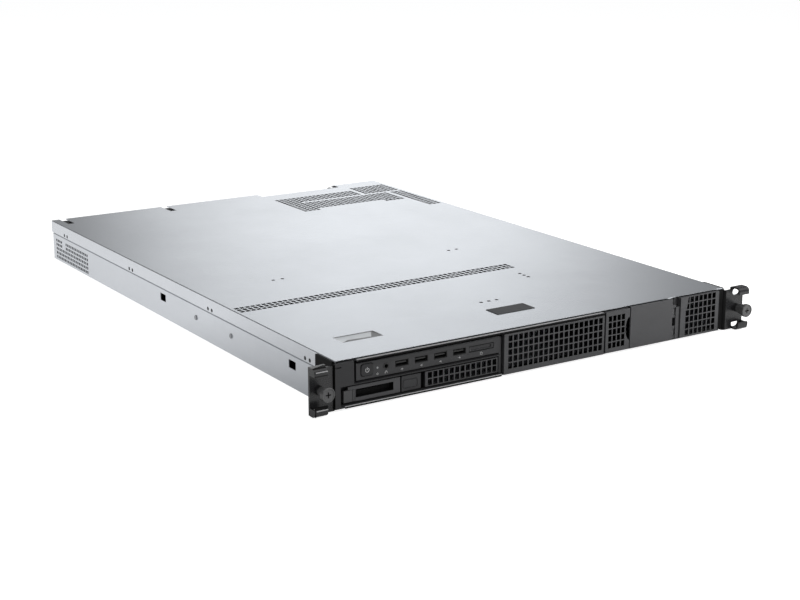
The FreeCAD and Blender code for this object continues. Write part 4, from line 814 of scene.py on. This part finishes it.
class SERVER_OT_cover_marks(bpy.types.Operator):
    """Adds the small pressed dimples of the cover's top and sides, as flat studs dark with painted shade"""

    bl_idname = "server.cover_marks"
    bl_label = "Cover dimples"

    def execute(self, context):
        cover = context.scene.server_cover
        half = cover_high[0] / MM
        sides = [d + s for d in SIDE_DIMPLES for s in (-SIDE_DIMPLE_HALF_GAP, SIDE_DIMPLE_HALF_GAP)]
        tree, names = stud_tree()
        meshes = []
        for facing, flat, places in (
                ("top", (1, 1, DIMPLE_FLATNESS), [spot(x, d, cover_top / MM) for x, d in TOP_DIMPLES]),
                ("left", (DIMPLE_FLATNESS, 1, 1), [spot(-half, d, SIDE_DIMPLE_Z) for d in sides]),
                ("right", (DIMPLE_FLATNESS, 1, 1), [spot(half, d, SIDE_DIMPLE_Z) for d in sides])):
            bm = bmesh.new()
            bmesh.ops.create_uvsphere(
                bm, u_segments=DIMPLE_SEGMENTS, v_segments=DIMPLE_RINGS, radius=cover.dimple)
            bmesh.ops.scale(bm, vec=flat, verts=bm.verts)
            stud = hidden_shape("dimple_" + facing, bm)
            base = bpy.data.meshes.new("places")
            base.from_pydata(places, [], [])
            meshes.append(grown(tree, names, {"Stud": stud, "Material": finishes["dimple_painted_shade"]}, base))
        piece_from("cover_dimples", joined(meshes), "cover", "dimple_painted_shade", smooth=True)
        return {"FINISHED"}


# ------------------------------------------------------------------ front marks
def stroke(bm, points, y, width, height, closed=False):
    """A thin raised line through (x, z) points in millimetres, standing out from plane y."""
    pts = [Vector(p) for p in points]
    count = len(pts)
    rings = []
    for n, p in enumerate(pts):
        before = pts[n - 1] if (n or closed) else p
        after = pts[(n + 1) % count] if (n < count - 1 or closed) else p
        along = (after - before).normalized()
        side = Vector((-along.y, along.x)) * width / MM / 2
        rings.append([(bm.verts.new((q.x * MM, y, q.y * MM)), bm.verts.new((q.x * MM, y - height, q.y * MM)))
                      for q in (p + side, p - side)])
    for n in range(count if closed else count - 1):
        (a0, a1), (b0, b1) = rings[n]
        (c0, c1), (e0, e1) = rings[(n + 1) % count]
        for face in ([a1, b1, e1, c1], [a0, c0, e0, b0], [a0, a1, c1, c0], [b1, b0, e0, e1]):
            bm.faces.new(face)
    if not closed:
        for (a0, a1), (b0, b1) in (rings[0], rings[-1]):
            bm.faces.new([a0, b0, b1, a1])


def arc(r, start, stop, steps, z=0.0):
    """Points of an arc about (0, z), its ends in degrees."""
    angles = [math.radians(start + (stop - start) * n / steps) for n in range(steps + 1)]
    return [(r * math.cos(a), z + r * math.sin(a)) for a in angles]


# Each mark's strokes in millimetres about its place: points, share of the line width, closed or not.
HEADSET_MARK = (
    (arc(1.0, -20, 200, 10), 1.0, False), (((-1.0, 0.1), (-1.0, -0.9)), 1.3, False),
    (((1.0, 0.1), (1.0, -0.9)), 1.3, False))
PORT_MARK = (
    (((-1.2, 0), (1.2, 0)), 0.8, False), (((-0.4, 0), (0.2, 0.7), (0.8, 0.7)), 0.6, False),
    (((-0.1, 0), (0.4, -0.7), (0.9, -0.7)), 0.6, False))
CARD_MARK = ((((-0.9, -1.2), (-0.9, 1.2), (0.5, 1.2), (0.9, 0.7), (0.9, -1.2)), 0.8, True),)
LAMP_MARK = ((arc(0.8, 0, 345, 14), 0.7, False),)
POWER_MARK = ((arc(1.75, 120, 420, 24, -0.2), 1.1, False), (((0, -0.1), (0, 2.3)), 1.1, False))
PANEL_MARKS = (
    (HEADSET_MARK, HEADSET_MARK_X), *((PORT_MARK, x) for x in PORT_MARKS_X), (CARD_MARK, CARD_MARK_X),
    (LAMP_MARK, LAMP_MARK_X))


class SERVER_OT_marks(bpy.types.Operator):
    """Prints the small picture marks beside the front sockets and on the button"""

    bl_idname = "server.marks"
    bl_label = "Front marks"

    def execute(self, context):
        front = context.scene.server_front
        line, height = front.mark_line, front.mark_height

        def strokes(bm, mark, x, z, face):
            for points, share, closed in mark:
                stroke(bm, [(x + px, z + pz) for px, pz in points], face, line * share, height, closed)

        bm = bmesh.new()
        for mark, x in PANEL_MARKS:
            strokes(bm, mark, x, MARKS_Z, panel_face)
        self.print_piece("panel_marks", bm, "chassis", "lamp_lens", "mark_print")
        bm = bmesh.new()
        button_x = (button_low[0] + button_high[0]) / 2 / MM
        button_z = (button_low[2] + button_high[2]) / 2 / MM
        strokes(bm, POWER_MARK, button_x, button_z, button_low[1])
        self.print_piece("power_mark", bm, "button", "lamp_lens", "mark_print")
        bm = bmesh.new()
        # A thin black line of painted shade round the card slot.
        x0, x1, z0, z1 = CARD_OUTLINE
        stroke(bm, [(x0, z0), (x1, z0), (x1, z1), (x0, z1)], panel_face, CARD_LINE * MM, height, closed=True)
        self.print_piece("card_outline", bm, "chassis", "socket_black", "shade_black")
        return {"FINISHED"}

    @staticmethod
    def print_piece(name, bm, body, slot_name, look):
        """A piece from strokes, with its faces turned outwards."""
        bmesh.ops.recalc_face_normals(bm, faces=bm.faces)
        piece_from(name, bm, body, look)


# ------------------------------------------------------------------ ears
class SERVER_OT_hoods(bpy.types.Operator):
    """Adds the lower hoods' lips, dark webs of painted shade behind the slots and the left hoods' painted
    highlight and shade lines
    """

    bl_idname = "server.hoods"
    bl_label = "Ear hoods"

    def execute(self, context):
        for side in ("left", "right"):
            low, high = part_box("ear_" + side)
            inner, outer = HOOD_X[0] * MM, HOOD_X[1] * MM
            x0, x1 = low[0] + inner, low[0] + outer
            if side == "right":
                x0, x1 = high[0] - outer, high[0] - inner
            front, foot, top = low[1], low[2], high[2]
            lip = ((x0, front, foot + LIP_FOOT * MM), (x1, front + LIP_THICK * MM, foot + LIP_TOP[side] * MM))
            # The left lip is black with painted shade; the right one has the ear's finish.
            lip_look = "shade_black" if side == "left" else "ear_black"
            edge_finish(self.detail("hood_lip_" + side, [lip], lip_look), LIP_ROUND * MM)
            # A dark web behind each slot: painted shade in place of what the slot shows.
            web = ((x0, front_edge - WEB_AHEAD[0] * MM, foot + WEB_FOOT[side] * MM),
                   (x1, front_edge - WEB_AHEAD[1] * MM, foot + WEB_TOP * MM))
            self.detail("slot_web_" + side, [web], "ear_black")
            if side == "left":
                self.painted_fold_lines(x0, x1, front, foot, top)
        return {"FINISHED"}

    @staticmethod
    def detail(name, corners, look):
        """Cuboids of an ear as one piece."""
        return slabs_from(name, corners, "chassis", look)

    def painted_fold_lines(self, x0, x1, front, foot, top):
        """Painted highlight and painted shade lines on the fronts of the left ear's two hoods."""
        face, sunk = front - FOLD_PROUD * MM, front + FOLD_SUNK * MM

        def strip(from_x, to_x, from_z, to_z):
            return (from_x, face, from_z), (to_x, sunk, to_z)

        start = x0 + FOLD_START * MM
        self.detail("hood_fold_left", [
            strip(start, x1, foot + LOWER_FOLD[0] * MM, foot + LOWER_FOLD[1] * MM),
            strip(start, x1, top - UPPER_FOLD[0] * MM, top - UPPER_FOLD[1] * MM)], "painted_highlight_grey")
        self.detail("hood_shade_left", [
            strip(x0, x1, top - UPPER_SHADE[0] * MM, top - UPPER_SHADE[1] * MM),
            strip(x0, x0 + END_SHADE_WIDE * MM, foot + END_SHADE[0] * MM, foot + END_SHADE[1] * MM)],
            "shade_black")


def turned(bm, centre, profile, steps=48):
    """A closed turned shape about the Y axis through centre, from (radius, y) points front to back."""
    rings = []
    for r, y in profile:
        angles = [2 * math.pi * n / steps for n in range(steps)]
        rings.append([bm.verts.new((centre.x + r * math.cos(a), y, centre.z + r * math.sin(a)))
                      for a in angles])
    for front, back in zip(rings, rings[1:]):
        for n in range(steps):
            k = (n + 1) % steps
            bm.faces.new([front[n], back[n], back[k], front[k]])
    bm.faces.new(rings[0])
    bm.faces.new(rings[-1][::-1])


def screw_profile(radius, long):
    """An ear screw's outline in millimetres, for its head's radius and whole length."""
    profile = [*SCREW_DISH, (radius - SCREW_CHAMFER, 0.0), (radius, SCREW_CHAMFER), (radius, SCREW_HEAD),
               *SCREW_SHANK]
    turns = round((THREAD_BACK[1] - THREAD_BACK[0]) / THREAD_PITCH)
    for n in range(turns):
        y = THREAD_BACK[0] + n * THREAD_PITCH
        profile += [(THREAD_RADII[0], y + THREAD_PITCH / 2), (THREAD_RADII[1], y + THREAD_PITCH)]
    return profile + [(SCREW_TIP, long)]


class SERVER_OT_screws(bpy.types.Operator):
    """Builds the two ear screws: turned head with a dished face, cross slot, ribs, waist and thread"""

    bl_idname = "server.screws"
    bl_label = "Ear screws"

    def execute(self, context):
        front = context.scene.server_front
        tree, names = ring_tree()
        for side in ("right", "left"):
            body = "ear_screw_" + side
            low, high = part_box("thumbscrew_" + side)
            face, radius = low[1], (high[0] - low[0]) / 2
            centre = Vector(((low[0] + high[0]) / 2, face, (low[2] + high[2]) / 2))
            bm = bmesh.new()
            profile = screw_profile(radius / MM, (high[1] - face) / MM)
            turned(bm, centre, [(r * MM, face + y * MM) for r, y in profile])
            bmesh.ops.recalc_face_normals(bm, faces=bm.faces)
            knob = piece_from("screw_" + side, bm, body, "knob_metal", smooth=True)
            sharp = knob.modifiers.new("Sharp", "EDGE_SPLIT")
            sharp.split_angle = math.radians(SCREW_FLAT_ANGLE)
            # The cross slot is a near-black slab, painted shade for its recess.
            slot = [(centre + Vector((-wide, CROSS_BACK[0], -tall)) * MM,
                     centre + Vector((wide, CROSS_BACK[1], tall)) * MM) for wide, tall in CROSS_HALVES]
            cross = slabs_from("screw_cross_" + side, slot, body, "matt_painted_shade")
            bm = bmesh.new()
            rib_corner = Vector(RIB_HALF) * MM
            slab(bm, -rib_corner, rib_corner)
            rib = hidden_shape("rib_" + side, bm)
            ring = grown(tree, names, {
                "Count": front.ring_ribs, "Radius": radius - RIB_SUNK * MM, "Rib": rib,
                "Material": finishes["knob_metal"], "Centre": tuple(centre + Vector((0, RIBS_BACK * MM, 0)))})
            ribs = piece_from("screw_ribs_" + side, joined([ring]), body, "knob_metal")
            for piece in (knob, cross, ribs):
                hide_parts("thumbscrew_" + side)
        return {"FINISHED"}


# ------------------------------------------------------------------ carried-over nodes
slot_names = {row["node"]: row["material_slot"] for row in frame["record"]["subparts"]}


class SERVER_OT_nodes(bpy.types.Operator):
    """Gives every carried-over piece its finish and rounds the edges that are seen"""

    bl_idname = "server.nodes"
    bl_label = "Carried-over pieces"

    def execute(self, context):
        front = context.scene.server_front
        for name, obj in frame["nodes"].items():
            look = finishes[OTHER_FINISH.get(name, slot_names[name])]
            if not obj.material_slots:
                obj.data.materials.append(look)
            for holder in obj.material_slots:
                holder.material = look
            if name in ROUNDED:
                edge_finish(obj, front.edge_round * ROUNDED[name])
        return {"FINISHED"}


def refined(node, shade, shift=None, body="chassis"):
    """A cleaned copy of a carried-over piece, with its shaded faces in black; stands for the node."""
    bm = bmesh.new()
    bm.from_mesh(frame["nodes"][node].data)
    bmesh.ops.remove_doubles(bm, verts=bm.verts, dist=MERGE)
    if shift:
        for v in bm.verts:
            v.co.z += shift(v.co)
    bm.normal_update()
    kinds = [int(shade(face)) for face in bm.faces]
    piece = piece_from(node + "_faces", bm, body, slot_names[node])
    piece.data.materials.append(finishes["shade_black"])
    for face, kind in zip(piece.data.polygons, kinds):
        face.material_index = kind
    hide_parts(node)
    return piece


class SERVER_OT_front_faces(bpy.types.Operator):
    """Refines the grilles, the ears and the carrier: thin ribs, and painted shade on the hole walls, folds
    and recess
    """

    bl_idname = "server.front_faces"
    bl_label = "Grilles, ears and carrier"

    def execute(self, context):
        front = context.scene.server_front
        for node in GRILLE_ROWS:
            self.grille(node, front.hole_growth)
        for side in ("left", "right"):
            self.ear(side)

        # Faces of the carrier's recess get painted shade.
        def sunk(face):
            x, y, z = face.calc_center_median()
            return (y > front_edge - CARRIER_RECESS_BACK * MM
                    and CARRIER_RECESS_X[0] < x / MM < CARRIER_RECESS_X[1]
                    and CARRIER_RECESS_Z[0] < z / MM < CARRIER_RECESS_Z[1])

        edge_finish(refined("drive_carrier", sunk, body="carrier"), front.edge_round * CARRIER_ROUND)
        return {"FINISHED"}

    @staticmethod
    def grille(node, growth):
        """Makes a grille's holes taller and their walls dark with painted shade."""
        first, pitch, tall, rows = GRILLE_ROWS[node]
        low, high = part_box(node)
        back = low[1] + GRILLE_SHEET * MM
        lines = {}
        for n in range(rows):
            lines[round(first + n * pitch, 2)] = -growth
            lines[round(first + n * pitch + tall, 2)] = growth

        def shift(co):
            return lines.get(round(co.z / MM, 2), 0.0) if co.y < back else 0.0

        def inside(face):
            x, y, z = face.calc_center_median()
            to_rim = min(x - low[0], high[0] - x, high[2] - z, z - low[2])
            return abs(face.normal.y) < HOLE_WALL_TILT and y < back and to_rim > GRILLE_RIM * MM

        edge_finish(refined(node, inside, shift), GRILLE_ROUND * MM, 1)

    @staticmethod
    def ear(side):
        """Darkens an ear's folds, and the tops of the left ear's hoods, with painted shade."""
        def folded(face):
            x, y, _ = face.calc_center_median()
            ahead = y < front_edge - HOOD_ROOF_FRONT * MM
            roof = side == "left" and face.normal.z > HOOD_ROOF_TILT and ahead
            wall = abs(face.normal.y) < EAR_WALL_TILT and abs(x) < EAR_FOLD_WALL_X * MM
            return roof or wall or abs(x) < EAR_FOLD_X * MM

        ear = refined("ear_" + side, folded)
        edge_finish(ear, EAR_ROUND * MM)
        ear.modifiers.remove(ear.modifiers["Flat faces"])


class SERVER_OT_front_lines(bpy.types.Operator):
    """Lays the long painted highlight and painted shade lines along the front frame's folded edges"""

    bl_idname = "server.front_lines"
    bl_label = "Front edge lines"

    def execute(self, context):
        for n, (x0, x1, d0, d1, z0, z1, look) in enumerate(PAINTED_FRONT_LINES):
            slabs_from("front_line_%d" % n, [(spot(x0, d0, z0), spot(x1, d1, z1))], "chassis",
                       look)
        return {"FINISHED"}


# ------------------------------------------------------------------ stage
class SERVER_OT_stage(bpy.types.Operator):
    """Sets up the pale floor, the soft lights, the surroundings and the camera"""

    bl_idname = "server.stage"
    bl_label = "Studio"

    def execute(self, context):
        scene = context.scene
        scene.view_settings.view_transform = "Standard"
        bm = bmesh.new()
        bmesh.ops.create_grid(bm, x_segments=1, y_segments=1, size=FLOOR_HALF)
        floor = hidden_shape("floor", bm)
        scene.collection.objects.link(floor)
        floor.location.z = cad_box[0][2] - FLOOR_GAP
        floor.data.materials.append(self.floor_look())
        world = scene.world or bpy.data.worlds.new("Studio")
        scene.world = world
        self.surroundings(world)
        for name, place, aim, size, power, reflected in LAMPS:
            lamp = bpy.data.lights.new(name, "AREA")
            lamp.shape = "RECTANGLE"
            lamp.size, lamp.size_y = size
            lamp.energy = power
            obj = bpy.data.objects.new(name, lamp)
            scene.collection.objects.link(obj)
            obj.visible_glossy = reflected
            obj.location = place
            obj.rotation_euler = (Vector(aim) - Vector(place)).to_track_quat("-Z", "Y").to_euler()
        lens = bpy.data.cameras.new("camera")
        lens.lens = CAMERA_LENS
        lens.sensor_width = CAMERA_SENSOR
        lens.clip_start = CAMERA_CLIP
        view = bpy.data.objects.new("camera", lens)
        scene.collection.objects.link(view)
        view.location = (CAMERA_X, front_edge - CAMERA_AHEAD, CAMERA_Z)
        view.rotation_euler = [math.radians(a) for a in (90 - CAMERA_DOWN, CAMERA_ROLL, CAMERA_TURN)]
        scene.camera = view
        return {"FINISHED"}

    @staticmethod
    def floor_look():
        """A pale floor that looks near white, and glows in reflections from behind and just ahead."""
        mat = bpy.data.materials.new("floor_pale")
        mat.use_nodes = True
        tree = mat.node_tree
        skin = tree.nodes["Principled BSDF"]
        skin.inputs["Roughness"].default_value = FLOOR_ROUGH
        skin.inputs["Specular IOR Level"].default_value = 0.0
        skin.inputs["Base Color"].default_value = (FLOOR_GREY, FLOOR_GREY, FLOOR_GREY, 1)
        path = tree.nodes.new("ShaderNodeLightPath")
        glow = tree.nodes.new("ShaderNodeEmission")
        glow.inputs["Color"].default_value = WHITE
        places = tree.nodes.new("ShaderNodeSeparateXYZ")
        tree.links.new(object_coords(tree), places.inputs[0])
        back, start = places.outputs["Y"], cad_box[0][1]
        along = ranged(tree, back, start, start + FLOOR_SHINE_LONG, *FLOOR_SHINE)
        before = ranged(tree, back, start + FRONT_SHINE_FROM, start + FRONT_SHINE_TO, FRONT_SHINE, 0.0)
        shine = math_node(tree, "MAXIMUM", along, before)
        seen = math_node(tree, "MULTIPLY", path.outputs["Is Camera Ray"], FLOOR_SEEN)
        mirrored = math_node(tree, "MULTIPLY", path.outputs["Is Glossy Ray"], shine)
        strength = math_node(tree, "ADD", seen, mirrored)
        both = tree.nodes.new("ShaderNodeAddShader")
        wire(tree, (strength, glow.inputs["Strength"]), (skin.outputs[0], both.inputs[0]),
             (glow.outputs[0], both.inputs[1]),
             (both.outputs[0], tree.nodes["Material Output"].inputs["Surface"]))
        return mat

    @staticmethod
    def surroundings(world):
        """White behind the object; a broad soft glow low at the far side for what it reflects."""
        world.use_nodes = True
        tree = world.node_tree
        tree.nodes.clear()
        out = tree.nodes.new("ShaderNodeOutputWorld")
        path = tree.nodes.new("ShaderNodeLightPath")
        where = tree.nodes.new("ShaderNodeTexCoord")
        towards = tree.nodes.new("ShaderNodeVectorMath")
        towards.operation = "DOT_PRODUCT"
        azimuth, height = math.radians(GLOW_AZIMUTH), math.radians(GLOW_HEIGHT)
        towards.inputs[1].default_value = (math.sin(azimuth) * math.cos(height),
                                           math.cos(azimuth) * math.cos(height), math.sin(height))
        level = ranged(tree, towards.outputs["Value"], math.cos(math.radians(GLOW_SPREAD)), 1.0,
                       ROOM_LEVEL, GLOW_LEVEL)
        level.node.interpolation_type = "SMOOTHSTEP"
        room = tree.nodes.new("ShaderNodeBackground")
        room.inputs["Color"].default_value = ROOM_TINT
        white = tree.nodes.new("ShaderNodeBackground")
        white.inputs["Color"].default_value = WHITE
        white.inputs["Strength"].default_value = 1.0
        mix = tree.nodes.new("ShaderNodeMixShader")
        wire(tree, (where.outputs["Generated"], towards.inputs[0]), (level, room.inputs["Strength"]),
             (path.outputs["Is Camera Ray"], mix.inputs[0]), (room.outputs[0], mix.inputs[1]),
             (white.outputs[0], mix.inputs[2]), (mix.outputs[0], out.inputs["Surface"]))


# ------------------------------------------------------------------ panel and registration
OPERATORS = (SERVER_OT_stage, SERVER_OT_cover, SERVER_OT_cover_marks, SERVER_OT_marks, SERVER_OT_hoods,
             SERVER_OT_screws, SERVER_OT_nodes, SERVER_OT_front_faces, SERVER_OT_front_lines)
SETTINGS = {"server_cover": CoverSettings, "server_front": FrontSettings, "server_finish": FinishSettings}


class SERVER_PT_panel(bpy.types.Panel):
    """Lists the settings and the building steps"""

    bl_idname = "SERVER_PT_panel"
    bl_label = "Rack server"
    bl_space_type = "VIEW_3D"
    bl_region_type = "UI"
    bl_category = "Rack server"

    def draw(self, context):
        layout = self.layout
        for name in SETTINGS:
            group = getattr(context.scene, name)
            for label in group.__annotations__:
                layout.prop(group, label)
        for operator in OPERATORS:
            layout.operator(operator.bl_idname)


CLASSES = (*SETTINGS.values(), *OPERATORS, SERVER_PT_panel)


def register():
    for cls in CLASSES:
        bpy.utils.register_class(cls)
    for name, group in SETTINGS.items():
        setattr(bpy.types.Scene, name, PointerProperty(type=group))


def unregister():
    for name in SETTINGS:
        delattr(bpy.types.Scene, name)
    for cls in reversed(CLASSES):
        bpy.utils.unregister_class(cls)


def main():
    """Builds everything in order."""
    register()
    make_finishes()
    bpy.ops.server.stage()
    bpy.ops.server.cover()
    bpy.ops.server.cover_marks()
    bpy.ops.server.marks()
    bpy.ops.server.hoods()
    bpy.ops.server.screws()
    bpy.ops.server.nodes()
    bpy.ops.server.front_faces()
    bpy.ops.server.front_lines()


if __name__ == "__main__":
    main()
